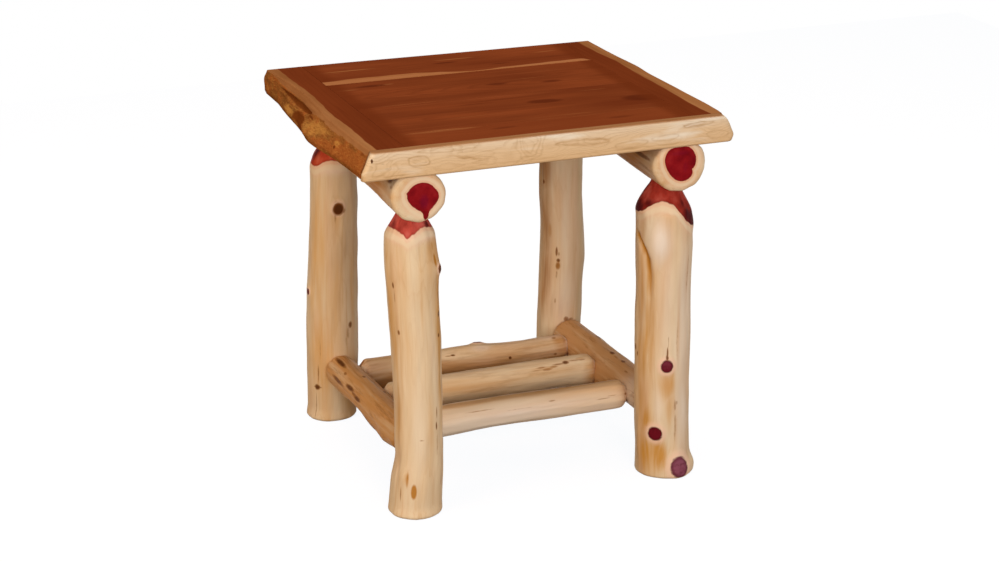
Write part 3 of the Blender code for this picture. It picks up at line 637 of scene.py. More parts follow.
def heart_field(look, place, angle, reach, length):
    """How far inside the red heartwood a point of a log lies, in metres."""
    seed = look["seed"]
    size = CAPPED_HEART if "red_cap" in look else PLAIN_HEART
    heart = (size + HEART_WAVES * ripple(seed + 5, angle, place, (2, 5), 0.2)) - reach
    if "red_cap" in look:
        edge = around_table(look["red_cap"], angle) * MM
        edge = edge + CAP_WAVES * ripple(seed + 6, angle, 0.0, (8, 24), 1.0)
        heart = np.maximum(heart, (place - edge) * CAP_SLOPE)
    if "heart" in look:
        x = reach * np.cos(angle) - look["heart_at"][0] * MM
        y = reach * np.sin(angle) - look["heart_at"][1] * MM
        front = around_table(look["heart"], np.arctan2(y, x)) * MM - np.hypot(x, y)
        back = heart + BACK_HEART
        heart = front + (back - front) * smooth(length * HEART_CHANGE[0], length * HEART_CHANGE[1], place)
    return heart


def loft(name, sections, fields, sharp=SHARP_ANGLE):
    """Closed piece over rings of points, flat on its first and last ring, with the given attributes."""
    rows, columns = sections.shape[:2]
    index = np.arange(rows * columns).reshape(rows, columns)
    near = index[:-1]
    far = index[1:]
    quads = np.stack((near, np.roll(near, -1, 1), np.roll(far, -1, 1), far), -1).reshape(-1, 4)
    faces = [*quads.tolist(), index[0][::-1].tolist(), index[-1].tolist()]
    mesh = bpy.data.meshes.new(name)
    mesh.from_pydata(sections.reshape(-1, 3).tolist(), [], faces)
    bm = bmesh.new()
    bm.from_mesh(mesh)
    bmesh.ops.recalc_face_normals(bm, faces=bm.faces)
    bm.to_mesh(mesh)
    bm.free()
    for key, values in fields.items():
        kind, entry = ("FLOAT_VECTOR", "vector") if values.ndim == 3 else ("FLOAT", "value")
        attribute = mesh.attributes.new(key, kind, "POINT")
        attribute.data.foreach_set(entry, values.astype(float).ravel())
    mesh.shade_smooth()
    mesh.set_sharp_from_angle(angle=sharp)
    obj = bpy.data.objects.new(name, mesh)
    bpy.context.scene.collection.objects.link(obj)
    return obj


def log_grid(log, look):
    """Places along a log, angles around it and share of the radius, finer near its ends and small marks."""
    marks = [*look.get("knots", ()), *look["marks"]]
    small = [mark for mark in marks if min(mark[2], mark[3]) < SMALL_MARK]
    places = [0.0, log.rounds[0], log.length - log.rounds[1], log.length, *[m[0] * MM for m in small]]
    along = graded(0.0, log.length, places, LOG_STEP_ALONG, FINE_STEP, FINE_REACH)
    girth = float(np.median(log.shape[:, 2]))
    turns = [math.radians(m[1]) % TURN for m in small]
    angle = graded(0.0, TURN, turns, LOG_STEP_AROUND / girth, FINE_STEP / girth, FINE_REACH / girth)
    caps = np.linspace(CAP_START, 1.0, CAP_RINGS, endpoint=False)
    place = np.concatenate((np.zeros(CAP_RINGS), along, np.full(CAP_RINGS, log.length)))
    share = np.concatenate((caps, np.ones(len(along)), caps[::-1]))
    return place[:, None], angle[None, :-1], share[:, None]


def build_log(name, look):
    kind = name.split("_")[0]
    log = Log(nodes[name], *LOG_AXES[kind], LOG_ENDS[kind])
    place, angle, share = log_grid(log, look)
    across, up, radius = log.at(place)
    whole = radius + log_lift(look, place, angle, radius)
    reach = (whole - log.end_drop(place)) * share
    out_across = reach * np.cos(angle)
    out_up = reach * np.sin(angle)
    points = log.start + place[..., None] * log.along
    points = points + (across + out_across)[..., None] * log.across + (up + out_up)[..., None] * log.up
    if kind == "beam":
        under_strip = points[..., 1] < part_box("top_front_edge")[1].y + BOARD_STEP
        points[..., 2] = np.minimum(points[..., 2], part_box(name)[1].z - STRIP_DROP * under_strip)
    bent = bent_angle(look, place, angle, radius)
    knot = np.full(reach.shape, NO_KNOT)
    mauve = np.zeros(reach.shape)
    for mark in look.get("knots", ()):
        away, _, distance = mark_distance(mark, place, angle, radius)
        knot = np.minimum(knot, distance + (share < 1.0) * NO_KNOT)
        mauve = np.where(distance < 2.0, mark[5] * (1.0 + away / mark[2] / MM * (1.0 - mark[5])), mauve)
    fields = {
        "grain": np.stack(np.broadcast_arrays(reach * np.cos(bent), reach * np.sin(bent), place), -1),
        "ring": reach - 0.4 * (whole - radius),
        "heart": heart_field(look, place, angle, reach, log.length),
        "knot": knot,
        "mauve": mauve,
        "plum": patch_field(look.get("plum", ()), out_across, out_up) * (place < FOOT_ROUND),
    }
    for key in ("mark", "resin", "amber_and_shade", "pale", "maroon_shade"):
        marks = look.get("marks" if key == "mark" else key, ())
        fields[key] = mark_field(marks, place, angle, radius, clear=key in ("mark", "resin"))
    # Painted shade in and beside the flute's groove
    if "flute" in look:
        depth, around = flute_shape(look["flute"], place, angle, radius)
        strong = np.clip(depth / FLUTE_DEPTH, 0.0, 1.0)
        for key, (most, power, widths) in FLUTE_SHADE.items():
            groove_shade = most * strong ** power * np.exp(-(around / np.where(around < 0.0, *widths)) ** 2)
            fields[key] = np.maximum(fields[key], groove_shade)
    return loft(name + "_log", points, fields)


class Graph:
    """Short hand for the nodes of one material or world. A value is a socket or a plain number."""

    def __init__(self, owner):
        owner.use_nodes = True
        self.owner = owner
        self.tree = owner.node_tree
        self.shader = self.tree.nodes.get("Principled BSDF")

    def put(self, socket, value):
        if isinstance(value, bpy.types.NodeSocket):
            self.tree.links.new(value, socket)
        else:
            socket.default_value = value

    def node(self, kind, inputs, **settings):
        node = self.tree.nodes.new(kind)
        for key, value in settings.items():
            setattr(node, key, value)
        for key, value in inputs.items():
            self.put(node.inputs[key], value)
        return node

    def field(self, name):
        return self.node("ShaderNodeAttribute", {}, attribute_name=name).outputs["Fac"]

    def grain(self, steps, seed=1):
        """Place along the grain of a piece, moved so that each seed gives other noise."""
        vector = self.node("ShaderNodeAttribute", {}, attribute_name="grain").outputs["Vector"]
        shift = [seed * step for step in steps]
        return self.node("ShaderNodeVectorMath", {0: vector, 1: shift}, operation="ADD").outputs[0]

    def noise(self, place, across, along, detail=3.0, roughness=0.55, distortion=0.0):
        """Noise with so many cells to the metre across the grain and along it."""
        scale = {0: place, 1: (across, across, along)}
        vector = self.node("ShaderNodeVectorMath", scale, operation="MULTIPLY").outputs[0]
        inputs = {"Vector": vector, "Scale": 1.0, "Detail": detail, "Roughness": roughness,
                  "Distortion": distortion}
        return self.node("ShaderNodeTexNoise", inputs).outputs["Fac"]

    def rough(self, size, *noise):
        """Noise around zero, of the given size."""
        return self.times(self.sum(self.noise(*noise), -0.5), size)

    def calc(self, operation, *values):
        return self.node("ShaderNodeMath", dict(enumerate(values)), operation=operation).outputs[0]

    def sum(self, a, b):
        return self.calc("ADD", a, b)

    def times(self, a, b):
        return self.calc("MULTIPLY", a, b)

    def span(self, value, low, high, start=0.0, end=1.0):
        inputs = {"Value": value, "From Min": low, "From Max": high, "To Min": start, "To Max": end}
        return self.node("ShaderNodeMapRange", inputs, interpolation_type="SMOOTHSTEP").outputs["Result"]

    def ramp(self, value, *stops):
        node = self.node("ShaderNodeValToRGB", {"Fac": value})
        elements = node.color_ramp.elements
        while len(elements) < len(stops):
            elements.new(0.5)
        for element, (position, colour) in zip(elements, stops):
            element.position = position
            element.color = (*colour, 1.0)
        return node.outputs["Color"]

    def blend(self, share, a, b):
        node = self.node("ShaderNodeMix", {0: share}, data_type="RGBA")
        for socket, value in ((node.inputs[6], a), (node.inputs[7], b)):
            self.put(socket, value if isinstance(value, bpy.types.NodeSocket) else (*value, 1.0))
        return node.outputs[2]

    def tint(self, colour, new, share, value, low, high):
        """Colour that takes on a share of a new one as a value goes from low to high."""
        return self.blend(self.span(value, low, high, 0.0, share), colour, new)

    def lines(self, value, low, high, sharp=0.97):
        """Thin line at every whole number, sharp on its outer side as a growth ring is."""
        share = self.calc("FRACT", value)
        return self.times(self.span(share, low, high), self.span(share, 1.0, sharp))

    def straight(self):
        """One for rays from the camera and for those that shiny or clear surfaces send on, else zero."""
        path = self.node("ShaderNodeLightPath", {}).outputs
        total = path["Is Camera Ray"]
        for kind in ("Is Glossy Ray", "Is Transmission Ray"):
            total = self.calc("MAXIMUM", total, path[kind])
        return total

    def shade(self, values):
        for key, value in values.items():
            self.put(self.shader.inputs[key], value)

    def finish(self, colour, roughness, height, distance, shine=0.0):
        bump = self.node("ShaderNodeBump", {"Height": height, "Strength": 1.0, "Distance": distance})
        self.shade({"Base Color": colour, "Roughness": roughness, "Specular IOR Level": shine,
                    "Normal": bump.outputs["Normal"]})
        return self.owner


# Colours of the woods as the photograph shows them
CREAM = srgb(230, 197, 156)
PALE = srgb(238, 214, 180)
HONEY = srgb(220, 172, 120)
STREAK = srgb(208, 154, 98)
LATEWOOD = srgb(200, 148, 92)
ROSE = srgb(228, 178, 140)
BLUSH = (238, 190, 158)
# Default amber tone, which also paints shade where the amber clouds lie
AMBER_AND_SHADE = (204, 142, 60)
OCHRE = srgb(156, 98, 48)
BARK_BROWN = srgb(84, 44, 18)
RESIN = srgb(186, 122, 44)
HALO = srgb(244, 202, 174)
# White sapwood, also used for painted highlight and painted light
WHITE_SAP_AND_HIGHLIGHT = srgb(240, 219, 199)
HEART_REDS = ((118, 14, 22), (140, 21, 27), (156, 33, 36))
CAP_REDS = ((126, 28, 26), (172, 58, 48), (204, 100, 86))
PLUM = srgb(112, 14, 46)
# Maroon of the caps, mostly painted shade on their sides
MAROON = srgb(64, 10, 16)
KNOT_MAROON = srgb(108, 20, 32)
KNOT_MAUVE = srgb(144, 80, 98)
KNOT_RIM = srgb(72, 14, 20)
RED = srgb(122, 57, 28)
RED_DARK = srgb(108, 45, 21)
RED_DEEP = srgb(88, 34, 16)
RED_LIGHT = srgb(152, 80, 44)
RED_ORANGE = srgb(138, 66, 33)
TAN = srgb(166, 104, 60)
TAN_LIGHT = srgb(180, 116, 74)
BAND = srgb(156, 100, 58)
BAND_DARK = srgb(142, 88, 48)
BAND_LIGHT = srgb(171, 115, 70)
BOARD_RED = srgb(110, 47, 20)
EDGE_BROWN = srgb(144, 88, 41)
EDGE_GOLD = srgb(192, 132, 64)
EDGE_DARK = srgb(112, 54, 18)
EDGE_SHADE = srgb(118, 70, 31)
EDGE_WARM = srgb(164, 90, 41)
STRIP_CREAM = srgb(231, 195, 153)
STRIP_PALE = srgb(248, 234, 214)
STRIP_LOW = srgb(218, 172, 119)
STRIP_LINE = srgb(186, 142, 94)
CROWN = srgb(168, 120, 79)
CROWN_DARK = srgb(152, 102, 64)

# Colours of the hidden joinery
BIRCH = srgb(214, 184, 140)
BIRCH_LIGHT = srgb(226, 200, 160)
BIRCH_DARK = srgb(184, 146, 98)
ZINC = srgb(186, 190, 194)
ZINC_LIGHT = srgb(206, 210, 214)
ZINC_WARM = srgb(178, 174, 160)

# Steps that move the noise from one seed to the next, growth rings to the metre, shine and depth of the bumps
LOG_STEPS = (0.37, 0.61, 0.83)
BOARD_STEPS = (0.41, 0.67, 0.29)
STRIP_STEPS = (3.1, 5.3, 2.7)
LOG_RINGS = 300.0
PLANK_RINGS = 300.0
BOARD_RINGS = 220.0
LOG_SHINE = 0.015
ZINC_SHINE = 0.5
LOG_BUMP = 0.0004
PLANK_BUMP = 0.0003
BOARD_BUMP = 0.0006
STRIP_BUMP = 0.0004
BIRCH_BUMP = 0.0002
ZINC_BUMP = 0.0001


def wood_graph(name):
    return Graph(bpy.data.materials.new(name + "_wood"))


def sapwood(g, place):
    """Cream sapwood from broad bands, faint streaks and growth rings, with its streaks and fibres."""
    broad = g.noise(place, 24, 3, 2.0)
    streak = g.noise(place, 170, 5)
    fibre = g.noise(place, 900, 26, 2.0)
    colour = g.ramp(broad, (0.30, HONEY), (0.46, CREAM), (0.70, PALE))
    colour = g.tint(colour, ROSE, 0.35, g.noise(place, 34, 4, 2.0), 0.50, 0.72)
    colour = g.tint(colour, STREAK, 0.42, streak, 0.52, 0.80)
    colour = g.tint(colour, PALE, 0.30, streak, 0.46, 0.26)
    wander = g.times(g.noise(place, 42, 5), 3.2)
    rings = g.lines(g.sum(g.times(g.field("ring"), LOG_RINGS), wander), 0.70, 0.97)
    colour = g.blend(g.times(rings, g.span(broad, 0.35, 0.65, 0.18, 0.05)), colour, LATEWOOD)
    colour = g.tint(colour, STREAK, 0.10, fibre, 0.45, 0.75)
    return colour, streak, fibre


def log_material(name, look):
    g = wood_graph(name)
    reds = [srgb(*red) for red in look.get("reds", HEART_REDS if "heart" in look else CAP_REDS)]
    place = g.grain(LOG_STEPS, look["seed"])
    colour, streak, fibre = sapwood(g, place)
    cloud = g.sum(g.noise(place, 90, 7), -0.5)
    # Amber clouds: amber wood, and painted shade on the shelf, in and beside the flute and on shaded sides of some
    # legs
    amber_and_shade = g.times(g.field("amber_and_shade"), g.span(cloud, -0.3, 0.3, 0.45, 1.35))
    colour = g.tint(colour, srgb(*look.get("tone", AMBER_AND_SHADE)), 0.95, amber_and_shade, 0.0, 1.2)
    # Pale sapwood, and in places painted highlight and painted light
    colour = g.blend(g.times(g.field("pale"), g.span(cloud, -0.3, 0.3, 0.6, 1.0)), colour, WHITE_SAP_AND_HIGHLIGHT)
    if "smear" in look:
        colour = g.tint(colour, OCHRE, look["smear"], g.noise(place, 110, 14, 4.0, 0.70), 0.50, 0.70)

    # Red heart, with blush and a pale line around it, and painted shade on the sides of the red caps
    heart = g.sum(g.field("heart"), g.rough(0.0010, place, 200, 60, 2.0))
    colour = g.tint(colour, srgb(*look.get("blush", BLUSH)), 0.60, heart, -0.016, -0.003)
    line = g.times(g.span(heart, -0.0105, -0.007), g.span(heart, -0.0022, -0.0045, 0.0, 0.65))
    colour = g.blend(line, colour, PALE)
    flesh = g.ramp(g.noise(place, 60, 22, 3.0, 0.5), *zip((0.28, 0.52, 0.76), reds))
    flesh = g.tint(flesh, reds[0], 0.50, heart, 0.0028, 0.0002)
    # Maroon: painted shade where the maroon clouds lie on the caps' sides, and dark patches at random from the
    # cloud noise
    flesh = g.tint(flesh, MAROON, 0.9, g.sum(g.field("maroon_shade"), g.times(cloud, 0.6)), 0.15, 0.85)
    flesh = g.tint(flesh, PLUM, 0.7, g.field("plum"), 0.1, 1.0)
    colour = g.blend(g.span(heart, -0.0007, 0.0007), colour, flesh)

    # Knots with a halo and a dark rim
    knot = g.sum(g.field("knot"), g.rough(0.42, place, 150, 150))
    colour = g.tint(colour, HALO, 0.80, knot, 2.0, 1.1)
    grown = g.blend(g.field("mauve"), KNOT_MAROON, KNOT_MAUVE)
    grown = g.tint(grown, KNOT_RIM, 0.45, g.noise(place, 260, 120), 0.42, 0.70)
    grown = g.tint(grown, KNOT_RIM, 0.60, knot, 0.60, 0.96)
    colour = g.blend(g.span(knot, 1.16, 0.88), colour, grown)

    # Marks, light brown where weak and dark where strong, and resin; along the flute these are painted shade
    mark = g.sum(g.field("mark"), g.rough(0.40, place, 380, 110, 2.0))
    colour = g.tint(colour, OCHRE, 0.75, mark, 0.08, 0.55)
    colour = g.tint(colour, BARK_BROWN, 0.90, mark, 0.40, 1.0)
    colour = g.tint(colour, RESIN, 0.95, g.sum(g.field("resin"), g.times(cloud, 0.4)), 0.15, 0.75)
    height = g.sum(g.times(fibre, 0.35), g.times(streak, 0.65))
    height = g.sum(height, g.times(g.span(mark, 0.2, 0.8), -0.8))
    return g.finish(colour, g.span(streak, 0.25, 0.75, 0.34, 0.46), height, LOG_BUMP, LOG_SHINE)


def add_piece(obj, material, slot, *replaced):
    obj.data.materials.clear()
    obj.data.materials.append(material)
    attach(obj, BODY)
    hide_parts(*replaced)


for log_name, log_look in LOGS.items():
    piece = build_log(log_name, log_look)
    add_piece(piece, log_material(log_name, log_look), "peeled_sapwood", log_name)


# Top, in millimetres. A live edge has, by depth, where the pale sapwood begins, the height of its brow, the middle
# and half height of its slot, and how far its upper and lower rims stand out. Its patches of colour and its lumps
# are depth, height, the two half sizes, strength or height, and for some a slope.
LEFT_SAP = ((-260, 272), (-193, 272.4), (-122, 270.4), (-54, 273.5), (21, 270), (81, 266.6), (131, 267),
            (197, 269.6), (264, 270))
RIGHT_SAP = ((-260, 281), (-217, 277), (-156, 277), (-89, 279), (-24, 279), (42, 279), (116, 281),
             (183, 276), (243, 274), (270, 275))
END_BOARDS = {
    "top_end_left": {
        "side": -1,
        "seed": 71,
        "sap": LEFT_SAP,
        "brow": ((-260, 603.4), (-167, 603), (-107, 602), (-30, 603), (25, 599.5), (106, 600.8),
                 (190, 602.9), (241, 608.6)),
        "slot": ((16, 598.2, 0.0), (30, 596.6, 2.2), (61, 594.8, 3.4), (97, 594.8, 3.6), (141, 595.6, 3.0),
                 (178, 596.8, 1.5), (204, 597.4, 0.0)),
        "gold": ((121, 580, 33, 8, 1.0), (-32, 589, 76, 11, 0.8, -0.12), (-137, 592, 12, 5, 0.8),
                 (-140, 581, 8, 4, 0.5), (206, 582, 30, 6, 0.3)),
        # Dark patches are brown wood, except the two lowest, along the lower rim, which are painted shade
        "dark": ((61, 582, 34, 8.5, 1.4, -0.02), (36, 575, 22, 6, 0.9), (12, 594.6, 22, 2.2, 0.7),
                 (-134.5, 586.4, 3.8, 2.8, 1.5), (4, 574, 22, 3, 0.7), (-92, 584, 30, 1.6, 0.3),
                 (255, 590, 16, 30, 0.35), (-238, 600, 16, 5, 0.5), (118, 584, 16, 2, 0.7)),
        "warm": ((-100, 581, 44, 9, 1.0), (-180, 585, 60, 14, 1.1), (-236, 586, 40, 18, 1.1)),
        "spread": ((-260, 0, 0), (-160, 0, 1), (-110, 0, 2.5), (-63, 0, 4), (-27, 0, 3.5), (7, 0, 2),
                   (44, 0, 4), (80, 0, 5), (120, 0, 5), (158, 0, 3.5), (200, 2, 0), (266, 3, 0)),
        "lumps": ((150, 573, 24, 7, 1.2), (-8, 578, 22, 8, 2.0), (-60, 588, 22, 7, -1.4),
                  (-136, 587, 9, 5, 1.2), (60, 578, 22, 6, -2.2), (-200, 580, 40, 8, 1.0),
                  (225, 585, 20, 8, 0.8)),
    },
    "top_end_right": {
        "side": 1,
        "seed": 77,
        "sap": RIGHT_SAP,
        "brow": ((-260, 600), (-100, 601), (60, 599), (260, 601)),
        "slot": (),
        "gold": ((60, 584, 60, 6, 0.7), (-120, 590, 50, 5, 0.8), (190, 580, 30, 7, 0.6)),
        "dark": ((120, 582, 10, 4, 0.8), (-40, 578, 26, 3, 0.6), (-190, 590, 16, 2, 0.6)),
        "warm": ((0, 585, 120, 12, 0.5), (-200, 580, 60, 10, 0.7)),
        "spread": ((-266, 2.2, 4), (-236, 4.2, 4), (-200, 3.9, 3), (-119, 2.2, 2), (-60, 2.3, 2),
                   (0, 4.4, 3), (60, 5.8, 4), (110, 7.3, 5), (186, 7.2, 5), (266, 8.5, 6)),
        "lumps": ((120, 584, 20, 7, 2.0), (10, 590, 30, 7, -1.6), (-110, 580, 40, 8, 1.2),
                  (-200, 592, 24, 6, -1.0)),
    },
}
# How far the top's back edge stands out, by place along it
BACK_SKEW = ((-300, 6), (-150, 5.5), (-60, 3.5), (30, 1.5), (100, 0), (200, -1), (300, -3))
# Depth of the sapwood along the front of the back plank, by place along it
SAP_STREAK = ((-230, 21), (-190, 25), (-130, 28), (-60, 24), (-20, 15), (10, 6), (35, 2), (60, 6),
              (110, 11), (160, 14), (205, 15), (236, 13), (244, 2))
# Streaks and figure on the planks: place along X and Y, half sizes, strength and for some a slope
PALE_STREAKS = ((-165, 212, 65, 2.6, 0.9), (-190, 203, 40, 1.8, 0.6), (30, 226, 50, 3.0, 0.9),
                (-203, 93, 26, 2.2, 0.9), (-180, 84, 40, 1.6, 0.5), (-148, -187, 80, 8.0, 0.6),
                (-140, -22, 90, 3.0, 0.45), (-60, -40, 60, 2.2, 0.4), (165, -48, 40, 2.4, 0.45),
                (195, 220, 30, 2.6, 0.6), (-130, 108, 12, 1.8, 1.2), (-148, 104, 6, 1.6, 1.0),
                (90, 60, 60, 2.0, 0.5), (-60, -128, 80, 2.4, 0.5), (60, -172, 90, 2.0, 0.5),
                (150, 100, 50, 2.0, 0.5), (-180, -80, 40, 2.0, 0.4), (60, -186, 110, 5.0, 0.4),
                (160, -182, 110, 3.0, 0.4))
DARK_FIGURE = ((66, -85, 33, 13, 1.1, -0.1), (221, -121, 36, 22, 1.1, -0.1), (36, 43, 24, 9, 0.8),
               (126, 28, 22, 9, 0.8), (5, 207, 26, 6, 0.9), (90, 170, 24, 5, 0.7), (-160, 106, 34, 8, 0.9),
               (-50, -206, 30, 7, 0.6), (140, -215, 30, 7, 0.6), (247, 134, 5, 8, 1.2),
               (170, 72, 30, 6, 0.5), (-90, 60, 40, 6, 0.4), (-40, -60, 36, 6, 0.5), (190, 185, 30, 5, 0.5))
# How far the front strip's right end stands out, by height
STRIP_END = ((563, 1), (566, 3), (572, 4.6), (585, 5), (594, 5.8), (602, 5.4), (606, 4), (608.5, 2),
             (610, -1.5))
# Marks on the front strip: place along X, height, half sizes, strength and for most a slope
STRIP_LOOPS = ((-211, 590, 18, 7.2, 0.8, 0.04), (-211, 590, 10, 3.2, 0.4, 0.04),
               (53, 591.5, 42, 4.6, 0.9, -0.05), (53, 591.5, 28, 2.2, 0.4, -0.05),
               (251, 599.8, 25, 3.0, 0.9, 0.02), (-33, 600, 17, 22, 0.45, 0.0),
               (-33, 600, 23, 28, 0.40, 0.0), (-33, 600, 11, 15, 0.35, 0.0), (-120, 592, 30, 5, 0.4, -0.1),
               (140, 580, 30, 5, 0.5, 0.03), (-268, 585, 16, 9, 0.5, 0.5), (-255, 580, 14, 7, 0.4, 0.5),
               (196, 584, 20, 4, 0.4, 0.0), (285, 581, 18, 6, 0.5, -0.1), (-165, 604, 44, 3, 0.5, 0.0))
STRIP_STREAKS = ((-135, 587, 36, 2.6, 0.8, -0.22), (-108, 582, 16, 2.4, 0.6, 0.1),
                 (-40, 586, 14, 5, 0.4, -0.3), (60, 586, 50, 2.0, 0.4, -0.04),
                 (-240, 572, 60, 2.0, 0.6, 0.0), (150, 573, 140, 2.4, 0.6, 0.0),
                 (-60, 573, 110, 2.2, 0.5, 0.0), (250, 598.8, 22, 2.0, 0.8, 0.02))
STRIP_FLAMES = ((130, 600, 44, 6, 1.1, -0.02), (198, 601, 22, 5, 1.3, -0.05), (262, 586, 36, 5, 1.5, -0.02),
                (288, 595, 12, 8, 1.3, -0.2), (-40, 602, 40, 5, 1.0, 0.0), (-282, 586, 8, 8, 1.0, 0.5),
                (-268, 577, 14, 5, 1.0, 0.3), (-120, 600, 50, 5, 0.6, 0.0), (-240, 599, 30, 5, 0.5, 0.0),
                (40, 603, 44, 3.5, 0.7, 0.0), (-80, 588, 24, 6, 0.6, 0.1), (104, 589, 26, 4, 0.9, 0.05))
STRIP_KNOTS = ((-285, 598, 2.0, 4.0, 1.0), (-268, 592, 5, 1.5, 0.4), (-262, 584, 6, 1.4, 0.4))


def patch_sum(patches, first, second):
    """Sum of a list of soft oval lumps."""
    total = 0.0
    for patch in patches:
        share = np.hypot((first / MM - patch[0]) / patch[2], (second / MM - patch[1]) / patch[3])
        total = total + patch[4] * MM * np.exp(-share ** 2)
    return total


def surface_of(name):
    mesh = nodes[name].data
    return BVHTree.FromPolygons([v.co for v in mesh.vertices], [p.vertices for p in mesh.polygons])


def side_hit(tree, side, y, z):
    """How far along X a packed board reaches on one side, at a depth and height."""
    return tree.ray_cast(Vector((side, y, z)), Vector((-side, 0, 0)))[0].x


def inside(values, margin=0.0004):
    return np.clip(values, values[0] + margin, values[-1] - margin)


def back_skew(x, y):
    """How far the top's back edge, which isn't quite square, stands behind its straight line."""
    return along_table(BACK_SKEW, x) * smooth(BACK_SKEW_START, cad_box[1].y, y)


def live_edge(name, look, depth, height):
    """How far out an end board's live edge reaches at each depth and height, and where its slot is."""
    side = look["side"]
    tree = surface_of(name)
    reach = np.array([[side * side_hit(tree, side, y, z) for z in inside(height)] for y in inside(depth)])
    reach = soften(soften(reach, EDGE_BLUR[0]).T, EDGE_BLUR[1]).T
    y = depth[:, None]
    z = height[None, :]
    low = height[0]
    high = height[-1]
    body = smooth(low, low + EDGE_FADES[0], z) * smooth(high, high - EDGE_FADES[1], z)
    relief = EDGE_WAVES * waves(look["seed"], y, z, (0.05, 0.03)) + patch_sum(look["lumps"], y, z)
    upper = along_table(look["spread"], y)
    lower = along_table(look["spread"], y, 2)
    reach = reach + relief * body + lower + (upper - lower) * (z - low) / (high - low)
    slot = np.zeros(reach.shape)
    if look["slot"]:
        middle = along_table(look["slot"], y)
        half = along_table(look["slot"], y, 2)
        strong = smooth(*SLOT_START, half)
        slot = strong * smooth(*SLOT_EDGE, np.abs(z - middle) / np.maximum(half, SLOT_LEAST))
        ridge = strong * np.exp(-((z - middle + half + RIDGE_BELOW) / RIDGE_WIDTH) ** 2)
        reach = reach - SLOT_DEPTH * slot + RIDGE_HEIGHT * ridge
    return reach, slot


def build_end_board(name, look):
    side = look["side"]
    low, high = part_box(name)
    depth = np.append(np.arange(low.y, high.y, BOARD_STEP), high.y)
    height = np.linspace(low.z, high.z, FACE_ROWS)
    reach, slot = live_edge(name, look, depth, height)
    joint = side * (high.x if side < 0 else low.x)
    shares = np.linspace(0.0, 1.0, TOP_COLUMNS) ** TOP_SPACING
    upper = reach[:, -1:] + (joint + PLANK_EDGE - reach[:, -1:]) * shares[1:]
    lower = joint + (reach[:, :1] - joint) * (1.0 - shares[::-1])[1:-1]
    edge = np.full((len(depth), 1), joint)
    x = side * np.hstack((edge, lower, reach, upper, edge))
    first = 1 + lower.shape[1]
    last = first + FACE_ROWS
    ring = np.concatenate(([low.z] * first, height, [high.z] * upper.shape[1], [high.z - PLANK_EDGE]))
    z = np.tile(ring, (len(depth), 1))
    near = slice(first - CORNER_COLUMNS, last + CORNER_COLUMNS)
    for values in (x, z):
        values[:, near] = soften(values.T, CORNER_BLUR).T[:, near]
    y = np.broadcast_to(depth[:, None], x.shape)
    border = along_table(look["sap"], y) + SAP_WAVES * waves(look["seed"] + 1, y, 0.0, (0.05, 1.0))
    brow = along_table(look["brow"], depth) + BROW_WAVES * waves(look["seed"] + 2, depth, 0.0, (0.04, 1.0))
    brow = brow[:, None]
    face = np.zeros(x.shape)
    face[:, first:last] = smooth(brow + BROW_SOFT, brow - BROW_SOFT, height)
    hollow = np.zeros(x.shape)
    hollow[:, first:last] = slot
    rise = z - low.z + BOARD_PITH[1] + BOARD_PITH_SLOPE * y
    fields = {
        "grain": np.stack((side * x, z, y), -1),
        "ring": np.hypot(side * x - joint + BOARD_PITH[0], rise),
        "sap": side * x - border,
        "near": smooth(*NEAR_BAND, y),
        "face": face,
        "slot": hollow,
    }
    for key in ("gold", "dark", "warm"):
        fields[key] = patch_field(look[key], y, z)
    return loft(name + "_board", np.stack((x, y + back_skew(x, y), z), -1), fields, BOARD_ANGLE)


def sway(x, number, wave):
    size, pace, shift = wave
    return size * np.sin(x * pace + number * shift)


def build_plank(name, number):
    low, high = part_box(name)
    x = np.append(np.arange(low.x, high.x, PLANK_STEP), high.x)[:, None]
    across = graded(low.y + PLANK_EDGE, high.y - PLANK_EDGE, (), BOARD_STEP, BOARD_STEP, 1.0)
    count = len(across)
    top = high.z - PLANK_EDGE
    bottom = low.z + PLANK_EDGE
    y = np.concatenate(([low.y], across, [high.y, high.y], across[::-1], [low.y]))[None, :]
    z = np.array([top, *[high.z] * count, top, bottom, *[low.z] * count, bottom])[None, :]
    x, y, z = np.broadcast_arrays(x, y, z)
    pith = PITHS[number]
    rise = pith[1] * MM + sway(x, number, PITH_SWAYS[0]) + sway(x, number, PITH_SWAYS[1])
    sap = np.full(x.shape, NO_SAP)
    if number == 1:
        sap = along_table(SAP_STREAK, x) - (y - low.y) + STREAK_WAVES * waves(5, x, y, (0.08, 0.03))
    fields = {
        "grain": np.stack((y, z, x), -1),
        "ring": np.hypot(y - pith[0] * MM - sway(x, number, SIDE_SWAY), z - high.z + rise),
        "sap": sap,
        "pale": patch_field(PALE_STREAKS, x, y),
        "dark": patch_field(DARK_FIGURE, x, y),
        "end": smooth(PLANK_FADE, 0.0, np.minimum(x - low.x, high.x - x)),
    }
    return loft(name + "_board", np.stack((x, y + back_skew(x, y), z), -1), fields, BOARD_ANGLE)


def loop_field(loops, first, second):
    """Strongest of the closed lines around a list of ovals."""
    field = np.zeros(np.broadcast(first, second).shape)
    for loop in loops:
        along = first - loop[0] * MM
        off = second - loop[1] * MM - loop[5] * along
        size = (loop[2] * MM, loop[3] * MM)
        share = np.hypot(along / size[0], off / size[1])
        steep = np.hypot(along / size[0] ** 2, off / size[1] ** 2) / np.maximum(share, 0.05)
        away = (share - 1.0) / np.maximum(steep, 1.0)
        field = np.maximum(field, loop[4] * np.exp(-(away / LOOP_LINE) ** 2))
    return field


